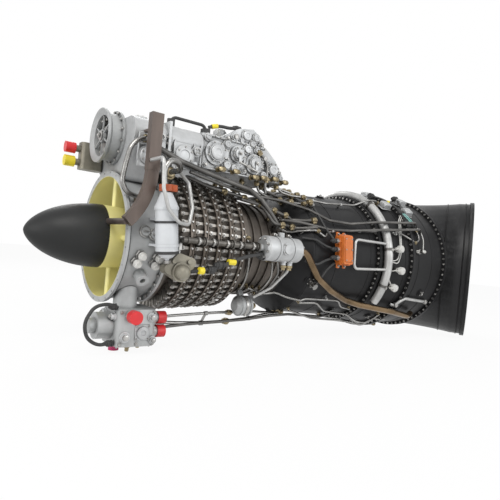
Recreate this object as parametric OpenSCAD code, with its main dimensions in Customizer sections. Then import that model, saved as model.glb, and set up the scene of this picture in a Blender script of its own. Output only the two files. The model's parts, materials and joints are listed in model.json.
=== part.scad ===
// Turboshaft engine with a free power turbine and rear drive.
// The engine axis is X, rearward; the origin is on the axis at the intake flange face; Z is up.
// Clock angles run about the axis from the top towards the near side (-Y).

/* [Stations] */
// Length of the intake casing
intake_len = 130; // [120:1:150]
// Length of the split casing of the variable vanes
comp_len = 290; // [285:1:320]
// Length of the plain rear compressor casing
rear_comp_len = 186; // [180:1:230]
// Length of the combustor casing
combustor_len = 404; // [380:1:450]
// Length of the gas turbine casing
gas_turbine_len = 174; // [165:1:210]
// Length of the power turbine casing
power_turbine_len = 231; // [220:1:270]

/* [Casings] */
// Radius of the air path at the intake mouth
intake_r = 181; // [178:1:190]
// Wall of the intake casing
intake_wall = 7; // [5:0.5:9]
// Radius of the intake hub and nose cone
hub_r = 95; // [90:1:100]
// Length of the hub ahead of the intake flange
hub_lead = 10; // [6:1:14]
// Wall of the intake hub
hub_wall = 6; // [4:0.5:8]
// Radius over the blade tips at the compressor inlet
comp_tip_front_r = 174; // [170:1:176]
// Radius over the blade tips at the compressor outlet
comp_tip_rear_r = 150; // [146:1:156]
// Wall of the compressor casings
comp_wall = 8; // [6:0.5:9]
// Outer radius of the combustor casing
combustor_front_r = 228; // [220:1:236]
// Length of the combustor casing's flare
combustor_flare = 70; // [55:1:90]
// Outer radius at the combustor joint
combustor_rear_r = 250; // [244:1:256]
// Outer radius between the turbine casings
gas_turbine_rear_r = 282; // [276:1:286]
// Outer radius at the exhaust flange
power_turbine_rear_r = 285; // [282:1:290]
// Wall of the hot casings
hot_wall = 5; // [4:0.5:7]
// Thickness of one joint flange
flange_t = 8; // [6:0.5:10]
// Height of a joint flange over its casing
flange_rise = 14; // [12:0.5:16]
// Height of the intake flange over its casing
intake_flange_rise = 10; // [9:0.5:12]
// Thickness of each split flange
split_flange_t = 4; // [3:0.25:4]
// Number of intake struts
strut_count = 4; // [3:1:6]
// Chord of an intake strut
strut_chord = 84; // [70:1:95]
// Thickness of an intake strut
strut_t = 18; // [12:1:22]
// Length of the nose cone
nose_len = 209; // [190:1:230]
// Wall of the nose cone
nose_wall = 3; // [2:0.5:5]

/* [Fasteners] */
// Radius of a joint bolt's hexagon head
bolt_r = 5; // [4:0.25:5.5]
// Height of a joint bolt's head
bolt_h = 5; // [3:0.25:6]
// Number of bolts round the compressor joints
cold_bolt_count = 36; // [24:4:40]
// Number of bolts round the hot joints
hot_bolt_count = 40; // [36:1:60]
// Number of holes in the intake flange
intake_hole_count = 24; // [18:1:30]
// Radius of a hole in the intake flange
intake_hole_r = 2.75; // [2:0.25:3.25]

/* [Compressor] */
// Compressor joint to the first variable row
vane_lead = 35; // [32:1:40]
// Axial pitch of the variable rows
vane_pitch = 48; // [46:0.5:50]
// Number of vanes in each variable row
vane_count = 52; // [40:4:60]
// Chord of a variable vane
vane_chord = 18; // [14:0.5:20]
// Thickness of a vane or compressor blade
blade_t = 2.6; // [2:0.2:3.4]
// Setting angle of the vanes and blades
blade_stagger = 36; // [25:1:45]
// Radius of a vane spindle
stem_r = 3.5; // [3:0.25:4]
// Radius of a spindle's boss
boss_r = 7; // [5.5:0.25:7.5]
// Height of the spindle bosses over the casing
boss_h = 30; // [26:1:34]
// Length of a vane lever, spindle to pin
lever_len = 26; // [25:0.5:27]
// Width of a vane lever
lever_w = 10; // [8:0.5:11]
// Thickness of a vane lever
lever_t = 3; // [2:0.25:4]
// Width of a unison ring
ring_w = 14; // [12:0.5:15]
// Thickness of a unison ring
ring_t = 5; // [4:0.25:6]
// Number of blades in a compressor rotor row
blade_count = 24; // [20:1:32]
// Chord of the front rotor blades
front_chord = 24; // [18:0.5:26]
// Chord of the rear rotor blades and fixed stators
rear_chord = 11; // [9:0.5:12]
// Axial pitch of the rear stages
rear_pitch = 28; // [26:0.5:29]
// Radius of the rotor drum at the compressor inlet
drum_front_r = 88; // [84:1:90]
// Radius of the rotor drum at the compressor outlet
drum_rear_r = 122; // [116:1:126]
// Running gap at the blade tips
tip_gap = 2; // [1.5:0.1:3]

/* [Vane control] */
// Clock angle of the control shaft
control_clock = 88; // [86:0.5:90]
// Distance of the control shaft from the axis
control_r = 266; // [265:0.5:270]
// Radius of the control shaft
control_shaft_r = 8; // [6:0.5:10]
// Crank arm of the first variable row
crank_first = 36; // [34:0.5:37]
// Loss of crank arm from one row to the next
crank_step = 3; // [2:0.25:3.5]
// Radius of a crank pin
crank_pin_r = 3; // [2.5:0.25:3.5]
// Thickness of a crank, lug or bracket
crank_t = 5; // [4:0.25:6]
// Largest turn of the control shaft each way
control_swing = 13; // [8:0.5:14]

/* [Hot section] */
// Number of blades in a gas turbine row
turbine_blade_count = 36; // [28:1:44]
// Number of vanes in a turbine nozzle row
nozzle_count = 24; // [18:1:30]
// Chord of a turbine blade
turbine_chord = 26; // [20:0.5:28]
// Thickness of a turbine blade
turbine_blade_t = 5; // [3:0.5:6]
// Radius over the gas turbine's blade tips
gas_tip_r = 200; // [194:1:206]
// Radius of the gas turbine's discs
gas_disc_r = 150; // [144:1:156]
// Radius over the power turbine's blade tips
power_tip_r = 230; // [224:1:236]
// Radius of the power turbine's discs
power_disc_r = 150; // [144:1:156]
// Number of fuel nozzles
nozzle_stub_count = 12; // [8:1:16]
// Radius of the air manifold's tube
manifold_r = 16; // [12:0.5:18]
// Air manifold, behind the combustor joint
manifold_lead = 30; // [26:1:40]

/* [Exhaust] */
// Turn of the exhaust towards the near side
exhaust_turn = 60; // [50:1:65]
// Wall of the exhaust duct
exhaust_wall = 3; // [2:0.5:5]
// Radius of the exhaust's inner corner
exhaust_corner_r = 52; // [40:1:70]
// Half width of the exhaust outlet
outlet_half_w = 193; // [180:1:210]
// Half height of the exhaust outlet
outlet_half_h = 308; // [300:1:316]
// Length of the straight collar at the outlet
outlet_len = 60; // [50:1:70]
// Thickness of the rim round the outlet
rim_t = 7; // [5:0.5:9]
// Width of the rim round the outlet
rim_w = 16; // [12:1:22]

/* [Shafts] */
// Radius of the gas generator shaft
gas_shaft_r = 36; // [32:1:40]
// Radius of the output shaft
output_shaft_r = 28; // [24:0.5:30]
// Outer radius of the output coupling
coupling_r = 52; // [48:1:54]
// Outer radius of the rear shaft housing
housing_r = 60; // [58:1:64]
// Wall of the rear shaft housing
housing_wall = 8; // [6:0.5:9]
// Exhaust flange to the end of the output coupling
output_reach = 421; // [400:1:440]
// Width of a rolling bearing
bearing_w = 20; // [16:1:24]
// Number of balls in a rolling bearing
ball_count = 12; // [8:1:14]

/* [Accessory gearbox] */
// Half width of the gearbox
gearbox_half_w = 150; // [130:1:155]
// Height of the gearbox's top over the axis
gearbox_top = 352; // [345:1:360]
// Length of the gearbox's pedestal
gearbox_len = 100; // [95:1:102]
// Length of the gearbox's rear bay
gearbox_bay_len = 122; // [110:1:125]
// Corner radius of the gearbox
gearbox_corner = 46; // [30:1:55]
// Height of the starter's axis over the axis
starter_z = 300; // [298:1:304]
// Radius of the starter's mouth ring
starter_r = 81; // [76:1:84]
// Length of the starter
starter_len = 52; // [46:1:58]
// Number of spokes in the starter's mouth
spoke_count = 6; // [4:1:8]
// Number of blades on the starter's wheel
starter_blade_count = 18; // [12:1:24]

/* [Fuel control] */
// Length of the control unit
fcu_len = 350; // [340:1:370]
// Half width of the control unit
fcu_half_w = 140; // [125:1:145]
// Height of the control unit's floor over the axis
fcu_floor = 238; // [236:1:242]
// Height of the control unit's body
fcu_h = 112; // [100:1:120]
// Corner radius of the control unit
fcu_corner = 22; // [12:1:30]
// Height of the covers on the control unit
fcu_cover_h = 16; // [10:1:20]

/* [Near side accessories] */
// Radius of the filter canister
filter_r = 31; // [28:0.5:35]
// Length of the filter canister's barrel
filter_len = 120; // [110:1:130]
// Distance of the filter from the intake flange
filter_x = 84; // [82:1:87]
// Distance of the filter's axis from the axis
filter_reach = 258; // [256:1:264]
// Height of the filter's foot over the axis
filter_z = -28; // [-30:1:-20]
// Width of the vane actuator's cast body
actuator_w = 96; // [80:1:104]
// Height of the vane actuator's cast body
actuator_h = 76; // [66:1:84]
// Depth of the vane actuator's cast body
actuator_d = 30; // [24:1:34]
// Drop of the actuator below the control shaft
actuator_drop = 76; // [72:1:84]
// Radius of the actuator's dome
dome_r = 22; // [16:0.5:26]
// Radius of the bleed valve
bleed_r = 40; // [34:0.5:44]
// Length of the bleed valve
bleed_len = 150; // [130:1:160]
// Clock angle of the bleed valve
bleed_clock = 88; // [86:0.5:92]
// Distance of the bleed valve's axis from the axis
bleed_reach = 246; // [240:1:254]
// Length of the ignition unit
ignition_len = 48; // [44:1:60]
// Height of the ignition unit
ignition_h = 104; // [96:1:110]
// Depth of the ignition unit
ignition_d = 42; // [38:1:50]
// Length of the drain tank
tank_len = 70; // [60:1:76]
// Radius of the drain tank
tank_r = 33; // [26:0.5:36]
// Length of the lower pump
pump_len = 120; // [110:1:130]
// Depth of the lower pump below the axis
pump_floor = 306; // [300:1:310]
// Radius of a transport cap
cap_r = 19; // [15:0.5:22]
// Length of a transport cap
cap_h = 26; // [20:1:30]

/* [Pipes] */
// Radius of the bronze bleed pipe
bleed_pipe_r = 12; // [9:0.5:13]
// Radius of the thick hoses and pipes
hose_r = 8; // [6:0.5:9]
// Radius of the thin pipes
pipe_r = 5; // [3.5:0.25:6]
// Bend radius of the thin pipes
pipe_bend = 18; // [14:1:24]
// Unit of height of a pipe over the casing
pipe_lift = 14; // [12:0.5:18]
// Width of the flat de-icing duct
duct_w = 34; // [28:1:38]
// Depth of the flat de-icing duct
duct_d = 24; // [20:1:28]

/* [Hidden] */
// Overrun of a cut past the face that it leaves
overrun = 1;
// Gap between still pieces that seat on each other
seat = 0.2;
// Gap between a turning piece and its seat
running = 0.25;
// Depth that a blade, boss or rib is rooted
root = 2;
$fn = 64;

// Joint stations along the axis
comp_x = intake_len;
rear_comp_x = comp_x + comp_len;
combustor_x = rear_comp_x + rear_comp_len;
gas_turbine_x = combustor_x + combustor_len;
power_turbine_x = gas_turbine_x + gas_turbine_len;
exhaust_x = power_turbine_x + power_turbine_len;
core_len = exhaust_x;

// Air path and casing radii along the compressor
function along(x, x0, x1, v0, v1) = v0 + (v1 - v0) * (x - x0) / (x1 - x0);
function tip_r(x) = along(x, comp_x, combustor_x, comp_tip_front_r, comp_tip_rear_r);
function drum_r(x) = along(x, comp_x, combustor_x, drum_front_r, drum_rear_r);
function comp_out_r(x) = tip_r(x) + comp_wall;
function vane_x(j) = comp_x + vane_lead + vane_pitch * j;
function rotor_x(k) = k < variable_rows
  ? vane_x(k) + vane_pitch / 2
  : vane_x(variable_rows - 1) + vane_pitch / 2 + rear_pitch * (k - variable_rows + 1);
variable_rows = 5;
stage_count = 12;

// Outer radius along the whole casing line
casing_line = [
  [0, intake_r + intake_wall],
  [comp_x, comp_out_r(comp_x)],
  [combustor_x, comp_out_r(combustor_x)],
  [combustor_x + combustor_flare, combustor_front_r],
  [gas_turbine_x, combustor_rear_r],
  [power_turbine_x, gas_turbine_rear_r],
  [exhaust_x, power_turbine_rear_r]
];
function casing_r(x) = lookup(x, casing_line);
function at(x, clock, r) = [x, -r * sin(clock), r * cos(clock)];

// Variable vane mechanism
function lever_r(j) = comp_out_r(vane_x(j)) + boss_h;
lever_gap = 0.8;
function ring_in_r(j) = lever_r(j) + lever_t + lever_gap;
function ring_out_r(j) = ring_in_r(j) + ring_t;
function ring_x(j) = vane_x(j) + lever_len;
function crank_arm(j) = crank_first - crank_step * j;
function crank_pin_reach(j) = control_r - crank_arm(j);
slot_gap = 0.5;
crank_gap = 1;
function bracket_x(j) = ring_x(j) + 1.5 * crank_t + 2 * crank_gap;
// Metal left round a crank pin or round the shaft
crank_rim = 2.5;
crank_eye_r = crank_pin_r + crank_rim;
lug_w = 4 * crank_pin_r + 2 * crank_rim;
rod_fork_t = 8;
// Start of the control shaft ahead of the first row
control_lead = 34;
control_shaft_x = vane_x(0) - control_lead;
control_shaft_end_x = bracket_x(variable_rows - 1) + 2 * crank_t;
drive_x = control_shaft_x + rod_fork_t + crank_gap;
drive_pin_reach = control_r - crank_first;

// Rear drive
shaft_end_x = exhaust_x + output_reach;
housing_x = exhaust_x + flange_t;
coupling_t = 14;
coupling_gap = 4;
housing_end_x = shaft_end_x - coupling_t - coupling_gap;

// Stands a shape's Z axis along the engine axis
module on_axis() {
  rotate([0, 90, 0]) children();
}

// A bar along the engine axis
module bar(r, h) {
  on_axis() cylinder(r = r, h = h);
}

// Turns a shape's +Z to a clock angle
module clock(a) {
  rotate([a, 0, 0]) children();
}

// Revolves points of [radius, station] about the engine axis
module turned(points) {
  on_axis() rotate_extrude() polygon(points);
}

// A disc or ring from one station to another
module ring(x, len, outer, inner = 0) {
  translate([x, 0, 0]) on_axis() difference() {
    cylinder(r = outer, h = len);
    if (inner > 0)
      translate([0, 0, -overrun]) cylinder(r = inner, h = len + 2 * overrun);
  }
}

// Copies a shape round the axis
module around(count, first = 0) {
  for (i = [0 : count - 1]) clock(first + 360 * i / count) children();
}

// An aerofoil plate that stands along Z
module blade(span, chord, thick, stagger) {
  camber = thick;
  rotate([0, 0, stagger]) linear_extrude(height = span) polygon([
    [-chord / 2, 0], [0, camber - thick / 2], [chord / 2, 0], [0, camber + thick / 2]
  ]);
}

// A box with its foot at the origin, centred across
module block(x, y, z) {
  translate([-x / 2, -y / 2, 0]) cube([x, y, z]);
}

// A block with four round upright edges
module soft_block(x, y, z, corner) {
  linear_extrude(height = z) hull()
    for (i = [-1, 1], k = [-1, 1])
      translate([i * (x / 2 - corner), k * (y / 2 - corner)]) circle(r = corner);
}

// Size of a bend beside its straight lengths
elbow_share = 0.98;
// Length that a straight runs into a bend
elbow_lap = 0.5;
// Least length of half a bend
elbow_min = 4;

// Pipe of straight lengths and true bends along points
function unit(v) = v / norm(v);
function side_of(z) = unit(cross(abs(z[2]) < 0.9 ? [0, 0, 1] : [1, 0, 0], z));
function frame_of(o, x, y, z) = [
  [x[0], y[0], z[0], o[0]], [x[1], y[1], z[1], o[1]], [x[2], y[2], z[2], o[2]], [0, 0, 0, 1]
];
function corner_turn(p, i) = acos(max(-1, min(1, unit(p[i] - p[i - 1]) * unit(p[i + 1] - p[i]))));
function corner_bend(p, i, bend) = max(bend, elbow_min / tan(corner_turn(p, i) / 2));
function corner_cut(p, i, bend) = i <= 0 || i >= len(p) - 1
  ? 0 : corner_bend(p, i, bend) * tan(corner_turn(p, i) / 2);

module rod(a, b, r) {
  d = unit(b - a);
  s = side_of(d);
  multmatrix(frame_of(a, s, cross(d, s), d)) cylinder(r = r, h = norm(b - a));
}

module pipe(p, r, bend) {
  for (i = [0 : len(p) - 2]) {
    d = unit(p[i + 1] - p[i]);
    lap0 = i > 0 ? elbow_lap : 0;
    lap1 = i < len(p) - 2 ? elbow_lap : 0;
    a = p[i] + d * (corner_cut(p, i, bend) - lap0);
    rod(a, p[i + 1] - d * (corner_cut(p, i + 1, bend) - lap1), r);
  }
  for (i = [1 : len(p) - 2]) {
    d0 = unit(p[i] - p[i - 1]);
    d1 = unit(p[i + 1] - p[i]);
    n = unit(cross(d0, d1));
    inward = cross(n, d0);
    b = corner_bend(p, i, bend);
    start = p[i] - d0 * corner_cut(p, i, bend);
    multmatrix(frame_of(start + inward * b, -inward, d0, n))
      rotate_extrude(angle = corner_turn(p, i)) translate([b, 0]) circle(r = r * elbow_share);
  }
}

// Shells and casings

// Radius of the nose cone at a share of its length
function nose_r(s) = hub_r * pow(1 - pow(s, nose_bluntness), nose_fullness);
nose_bluntness = 2.1;
nose_fullness = 0.62;
nose_steps = 28;

module nose_cone() {
  color("#26272a") turned(concat(
    [for (i = [0 : nose_steps]) let (s = sin(90 * i / nose_steps)) [nose_r(s), -hub_lead - nose_len * s]],
    [for (i = [nose_steps : -1 : 0]) let (s = sin(90 * i / nose_steps))
      [max(0, nose_r(s) - nose_wall), -hub_lead - (nose_len - nose_wall) * s]]
  ));
}

intake_seat_r = 45;
intake_web_x = 70;
web_t = 10;
mount_pad_r = 18;
mount_pad_h = 30;
mount_depth = 18;
mount_hole_r = 8;
mount_clock = 122;
mount_x_share = 0.47;
plug_r = 12;
plug_h = 6;
stub_r = 11;
stub_h = 24;
// Round plugs and drain stubs: share of the casing's length, clock angle
plug_shares = [[0.42, 83], [0.64, 85]];
stub_shares = [[0.36, 103], [0.28, 109], [0.76, 104], [0.7, 110]];
intake_flange_r = intake_r + intake_wall + intake_flange_rise;
intake_pcd_r = intake_flange_r - intake_flange_rise / 2;
comp_joint_r = comp_out_r(comp_x) + flange_rise;

function intake_out_r(x) = along(x, 0, comp_x, intake_r + intake_wall, comp_out_r(comp_x));

module intake_casing() {
  color("#b9bcbe") {
    difference() {
      turned([
        [intake_r, 0], [intake_flange_r, 0], [intake_flange_r, flange_t], [intake_out_r(flange_t), flange_t],
        [intake_out_r(comp_x - flange_t), comp_x - flange_t], [comp_joint_r, comp_x - flange_t],
        [comp_joint_r, comp_x], [comp_tip_front_r, comp_x]
      ]);
      around(intake_hole_count, 180 / intake_hole_count) translate([-overrun, 0, intake_pcd_r])
        bar(intake_hole_r, flange_t + 2 * overrun);
    }
    turned([
      [hub_r - hub_wall, -hub_lead], [hub_r, -hub_lead], [hub_r, 0], [drum_front_r, comp_x],
      [drum_front_r - hub_wall, comp_x], [drum_front_r - hub_wall, intake_web_x + web_t],
      [intake_seat_r + hub_wall, intake_web_x + web_t],
      [intake_seat_r + hub_wall, intake_web_x + bearing_w],
      [intake_seat_r, intake_web_x + bearing_w], [intake_seat_r, intake_web_x],
      [hub_r - hub_wall, intake_web_x]
    ]);
    intersection() {
      around(strut_count) translate([comp_x / 2, 0, hub_r - hub_wall])
        linear_extrude(height = intake_r + root - hub_r + hub_wall) hull() {
          translate([-strut_chord / 2 + strut_t / 2, 0]) circle(r = strut_t / 2);
          translate([strut_chord / 2 - strut_t / 8, 0]) circle(r = strut_t / 8);
        }
      turned([[hub_r + seat, 0], [intake_r - seat, 0], [comp_tip_front_r - seat, comp_x],
        [drum_front_r + seat, comp_x]]);
    }
    difference() {
      intake_bosses();
      turned([[0, 0], [intake_out_r(0) + seat, 0], [intake_out_r(comp_x) + seat, comp_x], [0, comp_x]]);
    }
  }
}

// Mount pads, plugs and drain stubs on the casing's outside
module intake_bosses() {
  for (c = [mount_clock, 360 - mount_clock]) clock(c) translate([comp_x * mount_x_share, 0, intake_r])
    difference() {
      cylinder(r = mount_pad_r, h = intake_wall + mount_pad_h);
      translate([0, 0, intake_wall + mount_pad_h - mount_depth])
        cylinder(r = mount_hole_r, h = mount_depth + overrun);
    }
  for (p = plug_shares) clock(p[1]) translate([comp_x * p[0], 0, intake_r])
    cylinder(r = plug_r, h = intake_wall + plug_h);
  for (p = stub_shares) clock(p[1]) translate([comp_x * p[0], 0, intake_r]) {
    cylinder(r = stub_r, h = intake_wall + plug_h);
    cylinder(r = stub_r * stub_neck_share, h = intake_wall + stub_h);
  }
}
stub_neck_share = 0.7;

// Hexagon heads on one face of a joint
module heads(x, r, count, first = 90) {
  around(count, first / count) translate([x, 0, r]) on_axis() cylinder(r = bolt_r, h = bolt_h, $fn = 6);
}

split_flange_r = comp_out_r(rear_comp_x) + flange_rise - root / 2;

rear_joint_r = comp_out_r(rear_comp_x) + flange_rise;
// Flat band at a vane row: width, rise over and cut into the wall
band_w = 2 * boss_r + 2;
band_rise = 1;
band_cut = 0.6;

// Many-sided disc with one flat for each vane
module flats(x, apothem) {
  corner = apothem / cos(180 / vane_count);
  translate([x - band_w / 2, 0, 0]) on_axis() linear_extrude(height = band_w)
    polygon([for (i = [0 : vane_count - 1]) corner * [cos(360 * i / vane_count), sin(360 * i / vane_count)]]);
}

// Compressor casing before it is halved
module compressor_shell() {
  difference() {
    union() {
      turned([
        [0, comp_x], [comp_joint_r, comp_x], [comp_joint_r, comp_x + flange_t],
        [comp_out_r(comp_x + flange_t), comp_x + flange_t],
        [comp_out_r(rear_comp_x - flange_t), rear_comp_x - flange_t],
        [rear_joint_r, rear_comp_x - flange_t], [rear_joint_r, rear_comp_x], [0, rear_comp_x]
      ]);
      for (c = [90, 270]) clock(c) translate([comp_x + flange_t, -split_flange_t, 0])
        cube([comp_len - 2 * flange_t, 2 * split_flange_t, split_flange_r]);
      for (j = [0 : variable_rows - 1]) flats(vane_x(j), comp_out_r(vane_x(j) - band_w / 2) + band_rise);
    }
    turned([
      [0, comp_x - overrun], [tip_r(comp_x - overrun), comp_x - overrun],
      [tip_r(rear_comp_x + overrun), rear_comp_x + overrun], [0, rear_comp_x + overrun]
    ]);
    for (j = [0 : variable_rows - 1]) flats(vane_x(j), tip_r(vane_x(j) - band_w / 2) + band_cut);
    for (j = [0 : variable_rows - 1]) around(vane_count, 180 / vane_count)
      translate([vane_x(j), 0, tip_r(vane_x(j)) - root])
        cylinder(r = stem_r + seat, h = comp_wall + band_rise + 2 * root);
    for (j = [0 : variable_rows - 1], c = [90, 270], s = [-1, 1])
      clock(c + s * 180 / vane_count)
        translate([vane_x(j), 0, comp_out_r(vane_x(j) - band_w / 2) + band_rise + seat / 2])
          cylinder(r = boss_r + seat, h = flange_rise);
  }
}

module half_space(up) {
  big = 2 * comp_joint_r;
  translate([comp_x - overrun, -big / 2, up ? seat / 2 : -big - seat / 2])
    cube([comp_len + 2 * overrun, big, big]);
}

module compressor_casing_upper() {
  color("#6d6258") intersection() {
    compressor_shell();
    half_space(true);
  }
}

module compressor_casing_lower() {
  color("#6d6258") intersection() {
    compressor_shell();
    half_space(false);
  }
}

rib_h = 5;
rib_t = 7;
rib_count = 4;
diffuser_joint_r = comp_out_r(combustor_x) + flange_rise;

function rib_x(k) = rear_comp_x + rear_comp_len * k / (rib_count + 1);

module rear_compressor_casing() {
  color("#5f554c") union() {
    turned([
      [tip_r(rear_comp_x), rear_comp_x], [rear_joint_r, rear_comp_x], [rear_joint_r, rear_comp_x + flange_t],
      [comp_out_r(rear_comp_x + flange_t), rear_comp_x + flange_t],
      [comp_out_r(combustor_x - flange_t), combustor_x - flange_t],
      [diffuser_joint_r, combustor_x - flange_t], [diffuser_joint_r, combustor_x],
      [tip_r(combustor_x), combustor_x]
    ]);
    for (k = [1 : rib_count]) let (x = rib_x(k))
      ring(x - rib_t / 2, rib_t, comp_out_r(x) + rib_h, tip_r(x) + root);
  }
}

module casing_bolts() {
  color("#cfd0d2") {
    heads(comp_x - flange_t - bolt_h, comp_joint_r - flange_rise / 2, cold_bolt_count);
    heads(rear_comp_x - flange_t - bolt_h, rear_joint_r - flange_rise / 2, cold_bolt_count, 180);
    heads(combustor_x - flange_t - bolt_h, diffuser_joint_r - flange_rise / 2, cold_bolt_count);
  }
}

// Variable vane rows

// One row of vanes, each with spindle, boss and lever
module guide_vanes(j) {
  x = vane_x(j);
  top = tip_r(x) - tip_gap;
  boss_foot = comp_out_r(x - band_w / 2) + band_rise + seat;
  color("#7c756c") around(vane_count, 180 / vane_count) translate([x, 0, 0]) {
    translate([0, 0, drum_r(x) + tip_gap])
      blade(top - drum_r(x) - tip_gap, vane_chord, blade_t, blade_stagger / 2);
    translate([0, 0, top - root]) cylinder(r = stem_r, h = lever_r(j) - top + root);
    translate([0, 0, boss_foot]) cylinder(r = boss_r, h = lever_r(j) - boss_foot);
    translate([0, 0, lever_r(j)]) linear_extrude(height = lever_t) polygon([
      [-boss_r, -lever_w / 2], [-boss_r, lever_w / 2],
      [lever_len + lever_w / 3, lever_w / 3], [lever_len + lever_w / 3, -lever_w / 3]
    ]);
  }
}

module guide_vanes_0() { guide_vanes(0); }
module guide_vanes_1() { guide_vanes(1); }
module guide_vanes_2() { guide_vanes(2); }
module guide_vanes_3() { guide_vanes(3); }
module guide_vanes_4() { guide_vanes(4); }

ring_edge = 3;
ring_floor_share = 0.5;

// Channel ring with a slotted lug that a crank pin moves
module unison_ring(j) {
  x = ring_x(j);
  x0 = x - ring_w / 2;
  x1 = x + ring_w / 2;
  in_r = ring_in_r(j);
  out_r = ring_out_r(j);
  floor_r = in_r + ring_t * ring_floor_share;
  pin_r = crank_pin_reach(j);
  lug_top = pin_r + 3 * crank_pin_r;
  color("#8a8078") difference() {
    union() {
      turned([
        [in_r, x0], [out_r, x0], [out_r, x0 + ring_edge], [floor_r, x0 + ring_edge],
        [floor_r, x1 - ring_edge], [out_r, x1 - ring_edge], [out_r, x1], [in_r, x1]
      ]);
      clock(control_clock) translate([x, 0, floor_r - ring_t * ring_floor_share / 2])
        block(crank_t, lug_w, lug_top - floor_r + ring_t * ring_floor_share / 2);
    }
    clock(control_clock) translate([x, 0, pin_r - 2 * crank_pin_r])
      block(crank_t + 2 * overrun, 2 * (crank_pin_r + slot_gap), lug_top - pin_r + 2 * crank_pin_r + overrun);
  }
}

module unison_ring_0() { unison_ring(0); }
module unison_ring_1() { unison_ring(1); }
module unison_ring_2() { unison_ring(2); }
module unison_ring_3() { unison_ring(3); }
module unison_ring_4() { unison_ring(4); }

// One crank towards the axis, its pin to -X
module crank(x, arm, pin_len) {
  translate([x, 0, 0]) on_axis() linear_extrude(height = crank_t) hull() {
    circle(r = control_shaft_r + crank_rim);
    translate([arm, 0]) circle(r = crank_eye_r);
  }
  translate([x - pin_len, 0, -arm]) bar(crank_pin_r, pin_len + crank_t);
}

module control_shaft() {
  color("#8f9092") clock(control_clock) translate([0, 0, control_r]) {
    translate([control_shaft_x, 0, 0]) bar(control_shaft_r, control_shaft_end_x - control_shaft_x);
    for (j = [0 : variable_rows - 1])
      crank(ring_x(j) + crank_t / 2 + crank_gap, crank_arm(j), crank_t + crank_gap);
    crank(drive_x + rod_fork_t / 2 + crank_gap, crank_first, rod_fork_t + crank_gap);
  }
}

bracket_rows = [0, 2, 4];
bracket_foot_w = 34;
bracket_eye = 6;
// Plates on the compressor casing that carry the control shaft
module control_shaft_brackets() {
  color("#6f6a64") for (j = bracket_rows) let (x = bracket_x(j), foot = split_flange_r + seat)
    clock(control_clock) translate([x, 0, 0]) on_axis() linear_extrude(height = crank_t) difference() {
      union() {
        polygon([
          [-foot + root, bracket_foot_w / 2], [-foot + root, -bracket_foot_w / 2],
          [-control_r, -control_shaft_r - bracket_eye], [-control_r, control_shaft_r + bracket_eye]
        ]);
        translate([-control_r, 0]) circle(r = control_shaft_r + bracket_eye);
      }
      circle(r = foot);
      translate([-control_r, 0]) circle(r = control_shaft_r + running);
    }
}

rod_r = 7;
rod_fork_w = 22;
rod_fork_h = 20;
// Room left at the end of the actuator's stroke
stroke_gap = 2;
actuator_slide = crank_first * control_swing * PI / 180;

// The control shaft's local frame: +Z outward, +Y upward round the casing
module control_frame() {
  clock(control_clock) children();
}

module actuator_body() {
  back = ring_out_r(0) + actuator_gap;
  leg_y = web_t - actuator_drop;
  leg_z = sqrt(pow(comp_out_r(drive_x), 2) - leg_y * leg_y) + seat;
  color("#a19a83") control_frame() difference() {
    union() {
      translate([drive_x, -actuator_drop, back]) linear_extrude(height = actuator_d)
        hull() for (p = plate_shares)
        translate([actuator_w * p[0], actuator_h * p[1]]) circle(r = actuator_h * p[2]);
      translate([drive_x, -actuator_drop - actuator_h * dome_drop_share, back + actuator_d - root]) {
        cylinder(r = dome_r * collar_share, h = root + plug_h);
        cylinder(r = dome_r, h = root + 2 * plug_h);
        translate([0, 0, root + 2 * plug_h]) difference() {
          sphere(r = dome_r * dome_share);
          translate([0, 0, -2 * dome_r]) block(3 * dome_r, 3 * dome_r, 2 * dome_r);
        }
      }
      for (i = [-1, 1])
        translate([drive_x + i * actuator_w / 4, actuator_h / 5 - actuator_drop, back + actuator_d - root])
          cylinder(r = plug_r / 2, h = root + plug_h);
      translate([comp_x + flange_t + seat, -actuator_drop, leg_z]) cube([web_t, web_t, back - leg_z + root]);
    }
    translate([drive_x, -actuator_drop, drive_pin_reach]) rotate([-90, 0, 0])
      cylinder(r = rod_r + running, h = actuator_h);
  }
}
actuator_gap = 2;
dome_share = 0.97;
// Plate corners: shares of its width, of its height, of its height as radius
plate_shares = [[-0.375, -0.08, 0.18], [-0.04, 0.32, 0.18], [0.35, 0.18, 0.18], [0.04, -0.18, 0.34]];
collar_share = 1.25;
dome_drop_share = 0.18;

module actuator_rod() {
  rod_foot = -actuator_drop + actuator_slide + stroke_gap;
  fork_foot = rod_foot + actuator_h / 2;
  color("#c9cacc") control_frame() translate([drive_x, 0, 0]) difference() {
    union() {
      translate([0, rod_foot, drive_pin_reach]) rotate([-90, 0, 0])
        cylinder(r = rod_r, h = fork_foot - rod_foot + root);
      translate([0, (fork_foot + rod_fork_h / 2) / 2, drive_pin_reach - rod_fork_w / 2])
        block(rod_fork_t, rod_fork_h / 2 - fork_foot, rod_fork_w);
    }
    translate([0, 0, drive_pin_reach - crank_pin_r * slot_share])
      block(rod_fork_t + 2 * overrun, 2 * (crank_pin_r + slot_gap), 2 * crank_pin_r * slot_share);
  }
}
slot_share = 2;

// Fixed stators and rotors

stator_band = 3;

module fixed_stators() {
  color("#9a8f80") for (k = [variable_rows - 1 : stage_count - 1])
    let (x = rotor_x(k) + rear_pitch / 2, half = rear_chord / 2) union() {
      turned([
        [tip_r(x - half) - seat, x - half], [tip_r(x + half) - seat, x + half],
        [tip_r(x + half) - stator_band, x + half], [tip_r(x - half) - stator_band, x - half]
      ]);
      around(blade_count, 90 / blade_count) translate([x, 0, drum_r(x) + tip_gap])
        blade(tip_r(x) - drum_r(x) - tip_gap - stator_band / 2, rear_chord, blade_t, -blade_stagger / 2);
    }
}

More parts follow.
